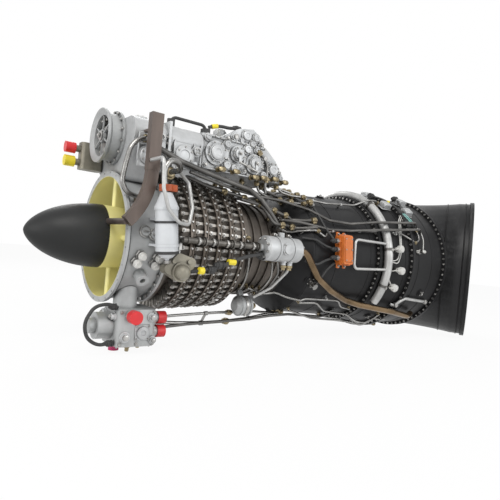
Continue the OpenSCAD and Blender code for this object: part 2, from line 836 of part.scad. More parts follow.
drum_wall = 8;
rotor_front_x = comp_x + vane_lead + boss_r;
rotor_rear_x = combustor_x - flange_t;
stub_shaft_r = 30;
gas_joint_lead = 50;
gas_shaft_joint_x = gas_turbine_x - gas_joint_lead;

module compressor_rotor() {
  color("#b0a597") union() {
    turned([
      [drum_r(rotor_front_x) - drum_wall, rotor_front_x + web_t],
      [stub_shaft_r + drum_wall, rotor_front_x + web_t],
      [stub_shaft_r - drum_wall, rotor_front_x], [stub_shaft_r - drum_wall, intake_web_x - web_t],
      [stub_shaft_r, intake_web_x - web_t],
      [stub_shaft_r, rotor_front_x], [drum_r(rotor_front_x), rotor_front_x],
      [drum_r(rotor_rear_x), rotor_rear_x], [gas_shaft_r, rotor_rear_x], [gas_shaft_r, gas_shaft_joint_x],
      [gas_shaft_r - drum_wall, gas_shaft_joint_x], [gas_shaft_r - drum_wall, rotor_rear_x - web_t],
      [drum_r(rotor_rear_x) - drum_wall, rotor_rear_x - web_t]
    ]);
    for (k = [0 : stage_count - 1])
      let (x = rotor_x(k), chord = k < variable_rows - 1 ? front_chord : rear_chord)
        around(blade_count) translate([x, 0, drum_r(x) - drum_wall / 2])
          blade(tip_r(x) - tip_gap - drum_r(x) + drum_wall / 2, chord, blade_t, blade_stagger);
  }
}

// Disc with blades of one turbine stage
module turbine_wheel(x, disc, tip, bore) {
  x0 = x - turbine_chord / 2;
  x1 = x + turbine_chord / 2;
  boss = bore * disc_boss_share;
  waist = disc * disc_waist_share;
  rim = disc - 2 * web_t;
  turned([
    [bore, x0], [boss, x0], [waist, x - web_t / 2], [rim, x - web_t / 2], [disc - web_t, x0], [disc, x0],
    [disc, x1], [disc - web_t, x1], [rim, x + web_t / 2], [waist, x + web_t / 2], [boss, x1], [bore, x1]
  ]);
  around(turbine_blade_count) translate([x, 0, disc - root])
    blade(tip - tip_gap - disc + root, turbine_chord, turbine_blade_t, -blade_stagger);
}
disc_boss_share = 1.4;
disc_waist_share = 0.5;

// Turbine rows as shares of the casing's length: nozzle, rotor, nozzle, rotor
gas_stage_shares = [0.13, 0.36, 0.62, 0.86];
power_stage_shares = [0.1, 0.27, 0.44, 0.6];
function gas_stage_x(i) = gas_turbine_x + gas_turbine_len * gas_stage_shares[i];
function power_stage_x(i) = power_turbine_x + power_turbine_len * power_stage_shares[i];

module gas_turbine_rotor() {
  end = gas_stage_x(3) + turbine_chord / 2;
  color("#8d8378") union() {
    ring(gas_shaft_joint_x, end - gas_shaft_joint_x, gas_shaft_r, gas_shaft_r - drum_wall);
    for (i = [1, 3]) turbine_wheel(gas_stage_x(i), gas_disc_r, gas_tip_r, gas_shaft_r - root);
  }
}

drive_hole_count = 8;

// Two wheels on a stub shaft, and the output shaft joined to it
module power_turbine_rotor() {
  front = power_stage_x(1) - turbine_chord / 2;
  joint = power_stage_x(3) + turbine_chord;
  color("#8d8378") union() {
    ring(front, joint - front, output_shaft_r);
    for (i = [1, 3]) turbine_wheel(power_stage_x(i), power_disc_r, power_tip_r, output_shaft_r - root);
  }
  color("#8d8378") union() {
    ring(joint + seat, shaft_end_x - joint - seat - coupling_t / 2, output_shaft_r);
    difference() {
      ring(shaft_end_x - coupling_t, coupling_t, coupling_r, output_shaft_r - root);
      around(drive_hole_count)
        translate([shaft_end_x - coupling_t - overrun, 0, (coupling_r + output_shaft_r) / 2])
        bar(intake_hole_r + overrun, coupling_t + 2 * overrun);
    }
  }
}

// A row of nozzle vanes between an inner and an outer band
module nozzle_ring(x, outer, inner) {
  half = turbine_chord / 2;
  seat_r = casing_r(x - half) - hot_wall - seat;
  union() {
    ring(x - half, turbine_chord, outer + hot_wall, outer);
    ring(x - half, hot_wall, seat_r, outer + hot_wall / 2);
    ring(x - half, turbine_chord, inner, inner - hot_wall);
    around(nozzle_count) translate([x, 0, inner - hot_wall / 2])
      blade(outer - inner + hot_wall, turbine_chord, turbine_blade_t, blade_stagger);
  }
}

module gas_turbine_nozzles() {
  color("#7a7068") for (i = [0, 2]) nozzle_ring(gas_stage_x(i), gas_tip_r, gas_disc_r);
}

module power_turbine_nozzles() {
  color("#7a7068") for (i = [0, 2]) nozzle_ring(power_stage_x(i), power_tip_r, power_disc_r);
}

// Combustor

combustor_joint_r = combustor_rear_r + flange_rise;
igniter_clocks = [44, 116];
igniter_share = 1.25;
igniter_x = combustor_x + combustor_flare * igniter_share;
igniter_r = 11;
igniter_len = 52;
inner_casing_r = 92;
inner_casing_wall = 4;

module combustor_casing() {
  x0 = combustor_x + flange_t;
  x1 = combustor_x + combustor_flare;
  x2 = gas_turbine_x - flange_t;
  color("#1d1d1f") difference() {
    turned([
      [tip_r(combustor_x), combustor_x], [diffuser_joint_r, combustor_x], [diffuser_joint_r, x0],
      [comp_out_r(combustor_x), x0], [combustor_front_r, x1], [casing_r(x2), x2], [combustor_joint_r, x2],
      [combustor_joint_r, gas_turbine_x], [combustor_rear_r - hot_wall, gas_turbine_x],
      [combustor_front_r - hot_wall, x1], [tip_r(combustor_x), x0 + flange_t / 2]
    ]);
    for (c = igniter_clocks) clock(c) translate([igniter_x, 0, combustor_front_r / 2])
      cylinder(r = igniter_r + seat, h = combustor_front_r);
  }
}

// Inner wall round the shaft, with the seats of two shaft bearings
module combustor_inner_casing() {
  x0 = combustor_x + seat;
  seat_r = gas_shaft_r + running + bearing_h;
  color("#4d4a47") turned([
    [drum_rear_r, x0], [drum_rear_r, x0 + web_t], [inner_casing_r, x0 + combustor_flare],
    [inner_casing_r, gas_shaft_joint_x], [inner_casing_r - inner_casing_wall, gas_shaft_joint_x],
    [inner_casing_r - inner_casing_wall, gas_shaft_joint_x - bearing_w - web_t],
    [seat_r + inner_casing_wall, gas_shaft_joint_x - bearing_w - web_t],
    [seat_r + inner_casing_wall, gas_shaft_joint_x - bearing_w], [seat_r, gas_shaft_joint_x - bearing_w],
    [seat_r, gas_shaft_joint_x - bearing_w - 2 * web_t],
    [inner_casing_r - inner_casing_wall, gas_shaft_joint_x - bearing_w - 3 * web_t],
    [inner_casing_r - inner_casing_wall, x0 + combustor_flare],
    [seat_r + inner_casing_wall, x0 + bearing_w], [seat_r, x0 + bearing_w], [seat_r, x0]
  ]);
}
bearing_h = 16;

liner_wall = 2;
liner_out_r = 196;
liner_in_r = 116;
liner_lead = 110;

module combustor_liner() {
  x0 = combustor_x + liner_lead;
  x1 = gas_turbine_x - flange_t;
  mid = (liner_out_r + liner_in_r) / 2;
  color("#857461") difference() {
    turned([
      [mid - web_t, x0], [mid + web_t, x0], [liner_out_r, x0 + 3 * web_t], [liner_out_r, x1],
      [liner_out_r - liner_wall, x1], [liner_out_r - liner_wall, x0 + 3 * web_t + liner_wall],
      [mid + web_t - liner_wall, x0 + 2 * liner_wall], [mid - web_t + liner_wall, x0 + 2 * liner_wall],
      [liner_in_r + liner_wall, x0 + 3 * web_t + liner_wall], [liner_in_r + liner_wall, x1],
      [liner_in_r, x1], [liner_in_r, x0 + 3 * web_t]
    ]);
    around(nozzle_stub_count) translate([x0 - overrun, 0, mid])
      bar(web_t * nozzle_share + seat, 2 * liner_wall + 2 * overrun);
    around(2 * nozzle_stub_count) translate([(x0 + x1) / 2, 0, mid])
      cylinder(r = web_t / 2, h = liner_out_r);
  }
}
nozzle_share = 0.7;

module fuel_manifold() {
  mid = (liner_out_r + liner_in_r) / 2;
  x = combustor_x + liner_lead - 3 * web_t;
  color("#a8a49c") union() {
    translate([x, 0, 0]) on_axis() rotate_extrude() translate([mid, 0]) circle(r = pipe_r);
    around(nozzle_stub_count) translate([x, 0, mid]) bar(web_t * nozzle_share, 3 * web_t + 2 * liner_wall);
    around(3, 60) translate([x, 0, mid])
      cylinder(r = pipe_r, h = casing_r(x - pipe_r) - hot_wall - mid - seat);
  }
}

module igniter_plugs() {
  color("#b7b2a8") for (c = igniter_clocks) clock(c) translate([igniter_x, 0, 0]) {
    translate([0, 0, liner_out_r + web_t]) cylinder(r = igniter_r, h = igniter_len);
    translate([0, 0, casing_r(igniter_x) + root]) cylinder(r = igniter_r * collar_share, h = web_t, $fn = 6);
  }
}

// Turbine casings

gas_joint_r = gas_turbine_rear_r + flange_rise;
exhaust_joint_r = power_turbine_rear_r + flange_rise;

// Shell between two joints, with a flange at each end
module hot_shell(x0, x1, r0, r1) {
  f0 = r0 + flange_rise;
  f1 = r1 + flange_rise;
  turned([
    [r0 - hot_wall, x0], [f0, x0], [f0, x0 + flange_t], [along(x0 + flange_t, x0, x1, r0, r1), x0 + flange_t],
    [along(x1 - flange_t, x0, x1, r0, r1), x1 - flange_t], [f1, x1 - flange_t], [f1, x1], [r1 - hot_wall, x1]
  ]);
}

module gas_turbine_casing() {
  color("#222224") hot_shell(gas_turbine_x, power_turbine_x, combustor_rear_r, gas_turbine_rear_r);
}

frame_hub_r = 142;
frame_hub_wall = 10;
frame_strut_count = 6;
frame_x_share = 0.8;

// Casing with the struts that carry the rear shaft housing
module power_turbine_casing() {
  x = power_turbine_x + power_turbine_len * frame_x_share;
  inner = frame_hub_r - frame_hub_wall / 2;
  color("#252527") union() {
    hot_shell(power_turbine_x, exhaust_x, gas_turbine_rear_r, power_turbine_rear_r);
    turned([
      [frame_hub_r - frame_hub_wall, x], [frame_hub_r, x], [frame_hub_r, exhaust_x],
      [housing_r - housing_wall, exhaust_x], [housing_r - housing_wall, exhaust_x - web_t],
      [frame_hub_r - frame_hub_wall, exhaust_x - web_t]
    ]);
    around(frame_strut_count, 30) translate([(x + exhaust_x) / 2, 0, inner])
      blade(power_turbine_rear_r - hot_wall / 2 - inner, exhaust_x - x, strut_t * stub_neck_share, 0);
  }
}

module hot_bolts() {
  color("#a9a6a0") {
    heads(gas_turbine_x - flange_t - bolt_h, combustor_joint_r - flange_rise / 2, hot_bolt_count);
    heads(power_turbine_x - flange_t - bolt_h, gas_joint_r - flange_rise / 2, hot_bolt_count);
    heads(exhaust_x - flange_t - bolt_h, exhaust_joint_r - flange_rise / 2, hot_bolt_count);
  }
}

manifold_gap = 1;
manifold_x = gas_turbine_x + manifold_lead;
// The ring is open below, where the bronze pipe passes
manifold_end_clock = 126.5;
manifold_foot_clocks = [30, 90, 270, 330];

module air_manifold() {
  r = casing_r(manifold_x + manifold_r) + manifold_r + manifold_gap;
  color("#b4b6b6") translate([manifold_x, 0, 0]) union() {
    on_axis() rotate([0, 0, 180 - manifold_end_clock])
      rotate_extrude(angle = 2 * manifold_end_clock)
        translate([r, 0]) circle(r = manifold_r);
    for (c = manifold_foot_clocks) clock(c) translate([0, 0, casing_r(manifold_x) + manifold_gap])
      cylinder(r = pipe_r, h = manifold_r);
  }
}

// Exhaust

exhaust_steps = 10;
exhaust_sides = 40;
loft_x = exhaust_x + flange_t + seat;
exhaust_lead = 4;
pivot = [loft_x + exhaust_lead, -(power_turbine_rear_r + exhaust_corner_r)];

// Half width and half height of the duct at a share of its turn
function half_w(s) = along(s, 0, 1, power_turbine_rear_r, outlet_half_w);
function half_h(s) = along(s, 0, 1, power_turbine_rear_r, outlet_half_h);

// Points round the duct at a share of the turn, run on by a length and thinned
function duct_ring(s, run, wall) = let (
  turn = exhaust_turn * s,
  out = [sin(turn), cos(turn)],
  ahead = [cos(turn), -sin(turn)],
  mid = pivot + out * (exhaust_corner_r + half_w(s)) + ahead * run
) [for (i = [0 : exhaust_sides - 1]) let (
  a = 360 * i / exhaust_sides,
  p = mid + out * (half_w(s) - wall) * cos(a)
) [p[0], p[1], (half_h(s) - wall) * sin(a)]];

function duct_rings(wall) = concat(
  [duct_ring(0, -exhaust_lead, wall)],
  [for (k = [0 : exhaust_steps]) duct_ring(k / exhaust_steps, 0, wall)],
  [duct_ring(1, outlet_len, wall)]
);

function flat(rings) = [for (r = rings) for (p = r) p];

// Faces of a closed loop of rings, each joined to the next
function loop_faces(rings, sides) = [
  for (k = [0 : rings - 1]) for (i = [0 : sides - 1]) let (
    a = k * sides + i,
    b = k * sides + (i + 1) % sides,
    c = ((k + 1) % rings) * sides + (i + 1) % sides,
    d = ((k + 1) % rings) * sides + i
  ) each [[a, b, c], [a, c, d]]
];

function reversed(v) = [for (i = [len(v) - 1 : -1 : 0]) v[i]];

module exhaust_duct() {
  rings = concat(duct_rings(0), reversed(duct_rings(exhaust_wall)));
  color("#161617") difference() {
    polyhedron(points = flat(rings), faces = loop_faces(len(rings), exhaust_sides));
    translate([exhaust_x + output_reach / 2, 0, 0]) bar(housing_r + running, output_reach);
  }
}

module exhaust_flange() {
  color("#1b1b1d") turned([
    [power_turbine_rear_r - hot_wall, exhaust_x], [exhaust_joint_r, exhaust_x],
    [exhaust_joint_r, exhaust_x + flange_t], [power_turbine_rear_r - hot_wall, exhaust_x + flange_t]
  ]);
}

module exhaust_rim() {
  rings = [
    duct_ring(1, outlet_len - rim_w, -seat), duct_ring(1, outlet_len - rim_w, -rim_t),
    duct_ring(1, outlet_len, -rim_t), duct_ring(1, outlet_len, -seat)
  ];
  color("#141415") polyhedron(points = flat(rings), faces = loop_faces(len(rings), exhaust_sides));
}

cone_wall = 3;
cone_len_share = 0.45;

module exhaust_cone() {
  x0 = exhaust_x + seat;
  x1 = exhaust_x + output_reach * cone_len_share;
  mid_x = (x0 + x1) / 2;
  mid_r = (housing_r + frame_hub_r) / 2 + web_t;
  color("#3a3633") turned([
    [frame_hub_r - cone_wall, x0], [frame_hub_r, x0], [mid_r, mid_x], [housing_r + running + cone_wall, x1],
    [housing_r + running, x1], [mid_r - cone_wall, mid_x]
  ]);
}

module rear_shaft_housing() {
  inner = housing_r - housing_wall;
  color("#9a9b9c") difference() {
    union() {
      ring(exhaust_x + seat, housing_end_x - exhaust_x - seat, housing_r, inner);
      ring(exhaust_x + seat, flange_t, housing_r + flange_rise, inner);
      ring(housing_end_x - flange_t, flange_t, housing_r + flange_rise, inner);
    }
    around(drive_hole_count) translate([housing_end_x - flange_t - overrun, 0, housing_r + flange_rise / 2])
      bar(intake_hole_r + overrun, flange_t + 2 * overrun);
  }
}

// Two races with their balls
module bearing(x, inner, outer) {
  mid = (inner + outer) / 2;
  ball = (outer - inner) * ball_share;
  race = (outer - inner) / 2 - ball;
  ring(x, bearing_w, outer - seat, outer - race);
  ring(x, bearing_w, inner + race, inner + running);
  around(ball_count) translate([x + bearing_w / 2, 0, mid]) sphere(r = ball - seat);
}
ball_share = 0.28;

module bearings() {
  gas_seat_r = gas_shaft_r + running + bearing_h;
  color("#d4d5d7") {
    bearing(intake_web_x, stub_shaft_r, intake_seat_r);
    bearing(combustor_x + seat, gas_shaft_r, gas_seat_r);
    bearing(gas_shaft_joint_x - bearing_w - 2 * web_t, gas_shaft_r, gas_seat_r);
    bearing(housing_x, output_shaft_r, housing_r - housing_wall);
    bearing(housing_end_x - bearing_w, output_shaft_r, housing_r - housing_wall);
  }
}

// Accessories on top

gearbox_x = 2 * flange_t;
ring_clear_r = ring_out_r(0) + 2 * flange_t;

// Section of the gearbox across the engine
module gearbox_outline() {
  hull() for (i = [-1, 1]) {
    translate([-gearbox_top + gearbox_corner, i * (gearbox_half_w - gearbox_corner)])
      circle(r = gearbox_corner);
    translate([-gearbox_foot, i * gearbox_half_w * pedestal_share]) circle(r = gearbox_corner / 2);
  }
}
gearbox_foot = 190;
pedestal_share = 0.55;

module accessory_gearbox() {
  color("#c2c5c6") union() {
    translate([gearbox_x, 0, 0]) on_axis() linear_extrude(height = gearbox_len) difference() {
      gearbox_outline();
      circle(r = intake_r + intake_wall + seat);
    }
    translate([gearbox_x + gearbox_len - root, 0, 0]) on_axis()
      linear_extrude(height = gearbox_bay_len + root)
      difference() {
        gearbox_outline();
        circle(r = ring_clear_r);
      }
    translate([gearbox_x + gearbox_len, -gearbox_half_w - flange_t, gearbox_top - 2 * gearbox_corner])
      cube([flange_t, 2 * (gearbox_half_w + flange_t), 2 * gearbox_corner]);
  }
}

starter_x = gearbox_x - starter_len;
starter_bore_share = 0.76;
starter_waist_share = 0.88;
starter_hub_share = 0.24;
starter_pin_r = 8;
wheel_w = 14;
wheel_lead = 16;

module starter_housing() {
  bore = starter_r * starter_bore_share;
  waist = starter_r * starter_waist_share;
  color("#aeb0b0") translate([0, 0, starter_z]) union() {
    turned([
      [bore, starter_x + flange_t], [starter_r - root, starter_x], [starter_r, starter_x],
      [starter_r, starter_x + flange_t], [waist, starter_x + 2 * flange_t], [waist, gearbox_x - flange_t],
      [starter_r, gearbox_x - flange_t],
      [starter_r, gearbox_x], [0, gearbox_x], [0, starter_x + wheel_lead],
      [starter_pin_r, starter_x + wheel_lead], [starter_pin_r, gearbox_x - flange_t],
      [bore, gearbox_x - flange_t]
    ]);
    ring(starter_x + flange_t, wheel_lead - flange_t + root / 2, starter_r * starter_hub_share);
    around(spoke_count) translate([starter_x + flange_t + root, -root, starter_r * starter_hub_share - root])
      cube([flange_t / 2, 2 * root, bore - starter_r * starter_hub_share + 2 * root]);
  }
}

module starter_wheel() {
  x = starter_x + wheel_lead + 2 * root;
  bore = starter_r * starter_bore_share;
  color("#77746c") translate([0, 0, starter_z]) union() {
    ring(x, wheel_w, bore / 2, starter_pin_r + running);
    around(starter_blade_count) translate([x + wheel_w / 2, 0, bore / 2 - root])
      blade(bore / 2 - tip_gap + root, wheel_w, blade_t, blade_stagger);
  }
}

valve_block_y = 112;
valve_block_w = 44;
valve_block_h = 84;
valve_block_len = 70;
valve_block_z = 205;
knob_r = 17;
knob_len = 30;
knob_shares = [0.25, 0.75];

// Two-port block ahead of the gearbox on the far side
module valve_block() {
  color("#a39c90") translate([gearbox_x - valve_block_len, valve_block_y, valve_block_z]) union() {
    translate([valve_block_len / 2, 0, 0])
      soft_block(valve_block_len - seat, valve_block_w, valve_block_h, valve_block_w / 4);
    for (k = knob_shares) translate([-knob_len / 2, 0, valve_block_h * k])
      bar(knob_r * collar_share / 2, knob_len / 2 + root);
    translate([valve_block_len / 2, 0, valve_block_h - root]) cylinder(r = plug_r / 2, h = plug_h * 4);
  }
}

fcu_x = gearbox_x + gearbox_len + gearbox_bay_len;
// Covers on the near and far walls: shares of length, of height, of height as radius
fcu_cover_shares = [[0.14, 0.5, 0.34], [0.38, 0.6, 0.24], [0.58, 0.42, 0.3], [0.8, 0.36, 0.26]];
// Roof towers: shares of length, half width, height as radius, height as rise
fcu_tower_shares = [
  [0.14, 0.45, 0.24, 0.3], [0.36, 0.3, 0.32, 0.24], [0.3, -0.5, 0.2, 0.3], [0.6, 0.66, 0.24, 0.2]
];

// Outlines of the falling end and raised crown: shares of length, of height
fcu_end_shares = [[0.68, 1.1], [0.86, 0.66], [1, 0.12], [1.1, -0.1], [1.1, 1.1]];
fcu_crown_shares = [[0.14, 0.9], [0.4, 1.38], [0.56, 1.46], [0.67, 1.22], [0.72, 0.9]];
fcu_crown_w_share = 1.36;

// Side outline drawn out across the unit
module fcu_side(shares, y, w) {
  translate([fcu_x, y + w, fcu_floor]) rotate([90, 0, 0]) linear_extrude(height = w)
    polygon([for (p = shares) [fcu_len * p[0], fcu_h * p[1]]]);
}

module fuel_control_unit() {
  color("#cdd0d1") union() {
    difference() {
      translate([fcu_x + fcu_len / 2 + seat, 0, fcu_floor])
        soft_block(fcu_len - 2 * seat, 2 * fcu_half_w, fcu_h, fcu_corner);
      fcu_side(fcu_end_shares, -2 * fcu_half_w, 4 * fcu_half_w);
    }
    fcu_side(fcu_crown_shares, root - fcu_half_w, fcu_half_w * fcu_crown_w_share);
    for (s = [-1, 1], p = fcu_cover_shares)
      translate([fcu_x + fcu_len * p[0], s * (fcu_half_w - root), fcu_floor + fcu_h * p[1]])
        rotate([-90 * s, 0, 0]) {
        cylinder(r = fcu_h * p[2], h = root + fcu_cover_h / 2);
        cylinder(r = fcu_h * p[2] * stub_neck_share, h = root + fcu_cover_h);
      }
    for (p = fcu_tower_shares)
      translate([fcu_x + fcu_len * p[0], fcu_half_w * p[1], fcu_floor + fcu_h - root])
        cylinder(r = fcu_h * p[2], h = root + fcu_h * p[3]);
    for (k = [1 : rib_count]) translate([fcu_x + fcu_len * k / (rib_count + 2), 0, fcu_floor + fcu_h - root])
      block(rib_t, 2 * fcu_half_w - 2 * fcu_corner, root + rib_h);
  }
}

// Flat warm-air duct down the near side to the nose cone
duct_y = -(intake_flange_r + duct_d / 2 + crank_t);
duct_top_x = 46;
duct_top_z = 346;
duct_turn_z = 190;
duct_bend = 210;
duct_turn = 44;
// How far the bend laps into the straight duct, degrees
duct_lap = 3;
feed_pipe_r = 9;

module deicing_duct() {
  bend_x = duct_top_x - duct_bend;
  foot_x = bend_x + duct_bend * cos(duct_turn);
  foot_z = duct_turn_z - duct_bend * sin(duct_turn);
  color("#5a4a43") difference() {
    union() {
      translate([duct_top_x - duct_w / 2, duct_y - duct_d / 2, duct_turn_z])
        cube([duct_w, duct_d, duct_top_z - duct_turn_z]);
      translate([bend_x, duct_y, duct_turn_z]) rotate([90, 0, 0]) rotate([0, 0, -duct_turn])
        rotate_extrude(angle = duct_turn + duct_lap)
          translate([duct_bend - duct_w / 2 + root / 2, root / 2 - duct_d / 2])
            square([duct_w - root, duct_d - root]);
      translate([duct_top_x - web_t / 2, duct_y, gearbox_top - gearbox_corner - rib_t / 2])
        cube([web_t, -gearbox_half_w - seat - duct_y, rib_t]);
      rod([foot_x, duct_y, foot_z], [foot_x, -hub_r / 2, foot_z], feed_pipe_r);
    }
    ring(-nose_len, nose_len + intake_len, hub_r + seat);
  }
}

// Accessories on the near side

filter_cone_len = 40;
filter_neck_share = 0.5;
filter_bracket_w = 30;
filter_bracket_shares = [0.1, 0.7];
// Lean of the filter's top towards the front
filter_lean = 6;

module filter_canister() {
  color("#b3b7ba") difference() {
    union() {
      translate([filter_x, -filter_reach, filter_z + filter_len / 2]) rotate([0, -filter_lean, 0])
        translate([0, 0, -filter_len / 2]) {
          rotate_extrude() polygon([
            [0, -filter_r * stub_neck_share], [filter_r * filter_neck_share, -filter_r * filter_neck_share],
            [filter_r, 0], [filter_r, rib_t * 2], [filter_r + root, rib_t * 2], [filter_r + root, rib_t * 3],
            [filter_r, rib_t * 3], [filter_r, filter_len - rib_t], [filter_r + root, filter_len - rib_t],
            [filter_r + root, filter_len], [filter_r * filter_neck_share, filter_len + filter_cone_len],
            [0, filter_len + filter_cone_len]
          ]);
          translate([0, 0, -filter_r * stub_neck_share - plug_h])
            cylinder(r = plug_r / 2, h = plug_h * 2);
        }
      for (k = filter_bracket_shares)
        translate([filter_x - filter_bracket_w / 2, -filter_reach, filter_z + filter_len * k])
          cube([filter_bracket_w, filter_reach - hub_r, rib_t]);
    }
    ring(filter_x - filter_bracket_w, 2 * filter_bracket_w,
      intake_out_r(filter_x - filter_bracket_w / 2) + seat);
  }
}

bleed_x = rear_comp_x + flange_t;
neck_r = 24;
bleed_end_shares = [0.7, 0.8];
bleed_band_shares = [0.3, 0.7];

module bleed_valve() {
  foot = comp_out_r(rib_x(2)) + rib_h + seat;
  mid = bleed_x + bleed_len / 2;
  color("#bfc3c5") clock(bleed_clock) union() {
    translate([bleed_x, 0, bleed_reach]) on_axis() rotate_extrude() polygon([
      [0, 0], [bleed_r * bleed_end_shares[0], 0], [bleed_r, rib_t], [bleed_r, bleed_len - rib_t],
      [bleed_r * bleed_end_shares[1], bleed_len], [0, bleed_len]
    ]);
    for (k = bleed_band_shares) translate([bleed_x + bleed_len * k, 0, bleed_reach])
      bar(bleed_r + root, flange_t);
    translate([mid, 0, foot]) {
      cylinder(r = neck_r, h = bleed_reach - foot);
      cylinder(r = neck_r + flange_rise / 2, h = flange_t);
    }
    translate([mid, bleed_r - root, bleed_reach]) rotate([-90, 0, 0])
      cylinder(r = plug_r, h = flange_rise + root);
    translate([bleed_x - flange_rise, 0, bleed_reach]) bar(plug_r, flange_rise + root);
  }
}

ignition_clock = 84;
ignition_x_share = 0.4;
ignition_foot_r = 9;
ignition_lift = 6;
ignition_foot_shares = [[0.24, -0.3], [0.24, 0.3], [0.76, -0.3], [0.76, 0.3]];

module ignition_unit() {
  x = combustor_x + combustor_len * ignition_x_share;
  base = casing_r(x + ignition_len) + ignition_lift;
  color("#d2622a") clock(ignition_clock) translate([x, 0, 0]) union() {
    translate([ignition_len / 2, 0, base]) soft_block(ignition_len, ignition_h, ignition_d, rib_t);
    translate([ignition_len / 2, 0, base + ignition_d / 2])
      soft_block(ignition_len + rib_t, ignition_h + rib_t, rib_t, rib_t);
    for (k = ignition_foot_shares) {
      r = casing_r(x + ignition_len * k[0] + ignition_foot_r);
      foot = sqrt(r * r - pow(ignition_h * abs(k[1]) - ignition_foot_r, 2)) + seat;
      translate([ignition_len * k[0], ignition_h * k[1], foot])
        cylinder(r = ignition_foot_r, h = base - foot + root);
    }
  }
}

tank_clock = 152;
tank_lead = 20;
tank_x = rear_comp_x + tank_lead;
tank_dish_share = 0.6;
tank_band_shares = [0.2, 0.7];

// Dished tank under the rear compressor casing
module drain_tank() {
  r = rear_joint_r + tank_r + flange_t;
  dish = tank_r / 3;
  leg_x = tank_len / 2 - web_t;
  foot = comp_out_r(tank_x + leg_x) + seat;
  color("#c3c6c8") clock(tank_clock) translate([tank_x, 0, 0]) union() {
    translate([0, 0, r]) on_axis() rotate_extrude() polygon([
      [0, 0], [tank_r * tank_dish_share, 0], [tank_r, dish], [tank_r, tank_len - dish],
      [tank_r * tank_dish_share, tank_len], [0, tank_len]
    ]);
    for (k = tank_band_shares) translate([tank_len * k, 0, r]) bar(tank_r + root, rib_t);
    translate([leg_x, -rib_t, foot]) cube([2 * web_t, 2 * rib_t, r - foot]);
  }
}

pump_x = 10;
pump_half_w = 62;
pump_y = -96;
pump_h = 106;
pump_neck_r = 34;
pump_neck_share = 0.35;
pump_barrel_r = 38;
pump_barrel_len = 44;
pump_nose_r = 22;
port_r = 15;
port_len = 18;
// Ports: share of length on the near wall, shares of height on the rear wall
port_x_share = 0.3;
port_shares = [0.33, 0.72];
port_side_share = 0.84;
pump_mid_z = pump_h / 2 - pump_floor;
port_z = pump_h * port_side_share - pump_floor;

// Pump under the intake, with its barrels and ports
module lower_pump() {
  color("#bcbfc1") difference() {
    union() {
      translate([pump_x + pump_len / 2, pump_y, -pump_floor])
        soft_block(pump_len, 2 * pump_half_w, pump_h, fcu_corner);
      translate([pump_x + pump_len * pump_neck_share, pump_y, pump_mid_z])
        cylinder(r = pump_neck_r, h = -pump_mid_z - hub_r);
      translate([pump_x - pump_barrel_len, pump_y, pump_mid_z]) bar(pump_barrel_r, pump_barrel_len + root);
      translate([pump_x - pump_barrel_len - port_len, pump_y, pump_mid_z]) bar(pump_nose_r, port_len + root);
      for (k = port_shares) translate([pump_x + pump_len - root, pump_y - cap_r, pump_h * k - pump_floor])
        bar(port_r, port_len + root);
      translate([pump_x + pump_len * port_x_share, pump_y - pump_half_w + root, port_z])
        rotate([90, 0, 0])
        cylinder(r = port_r, h = port_len + root);
    }
    ring(pump_x, pump_len, intake_r + intake_wall + seat);
  }
}

module knob(k) {
  translate([
    gearbox_x - valve_block_len - 1.5 * knob_len - seat,
    valve_block_y, valve_block_z + valve_block_h * k
  ])
    bar(knob_r, knob_len);
}

module red_caps() {
  color("#e02a2c") {
    for (k = port_shares)
      translate([pump_x + pump_len + port_len + seat, pump_y - cap_r, pump_h * k - pump_floor])
        bar(cap_r, cap_h);
    translate([pump_x + pump_len * port_x_share, pump_y - pump_half_w - port_len - seat, port_z])
      rotate([90, 0, 0]) cylinder(r = cap_r, h = cap_h);
    knob(knob_shares[1]);
  }
}

module yellow_cap() {
  color("#e3b92c") knob(knob_shares[0]);
}

module magenta_cap() {
  color("#c22a6c") translate([pump_x + cap_r, pump_y, -pump_floor - cap_r - seat])
    cylinder(r = port_r, h = cap_r);
}

// Pipes, probes and harness

// Points from core length shares, clock angles and pipe lifts
function route(places) = [for (p = places)
  at(core_len * p[0], p[1], casing_r(core_len * p[0]) + pipe_lift * p[2])];
bleed_bend = 60;
bleed_route_shares = [
  [0.438, 88, 5.3], [0.496, 109, 1.2], [0.559, 120, 1.2], [0.629, 128.4, 1.2], [0.68, 130, 2.1],
  [0.813, 131, 2.4], [0.9, 135, 2.4], [0.93, 136, 1.1]
];

module bleed_pipe() {
  start = at(bleed_x + bleed_len + seat, bleed_clock, bleed_reach);
  color("#8a6a52") pipe(concat([start], route(bleed_route_shares)), bleed_pipe_r, bleed_bend);
}

frame_end_share = (manifold_x - manifold_r - seat) / core_len;
pale_route_shares = [
  [[frame_end_share, 75.5, 1.7], [0.608, 74, 1.7], [0.605, 98, 1.7], [frame_end_share, 96.5, 1.7]],
  [[0.0254, 46.6, 9.05], [0.0254, 54.7, 13.29], [0.0297, 65.9, 10.5], [0.0424, 74.2, 9.34],
    [0.0686, 80.2, 8.71], [0.0975, 79.9, 7.35], [0.1088, 69.3, 7.25], [0.1117, 52.9, 7.24],
    [0.1187, 28.5, 5.46]],
  [[0.391, 97.85, 6.35], [0.394, 106, 5.4], [0.386, 127, 3.3], [0.352, 141, 3.3]]
];

module pale_pipes() {
  color("#d9dadb") for (p = pale_route_shares) pipe(route(p), pipe_r, pipe_bend);
}

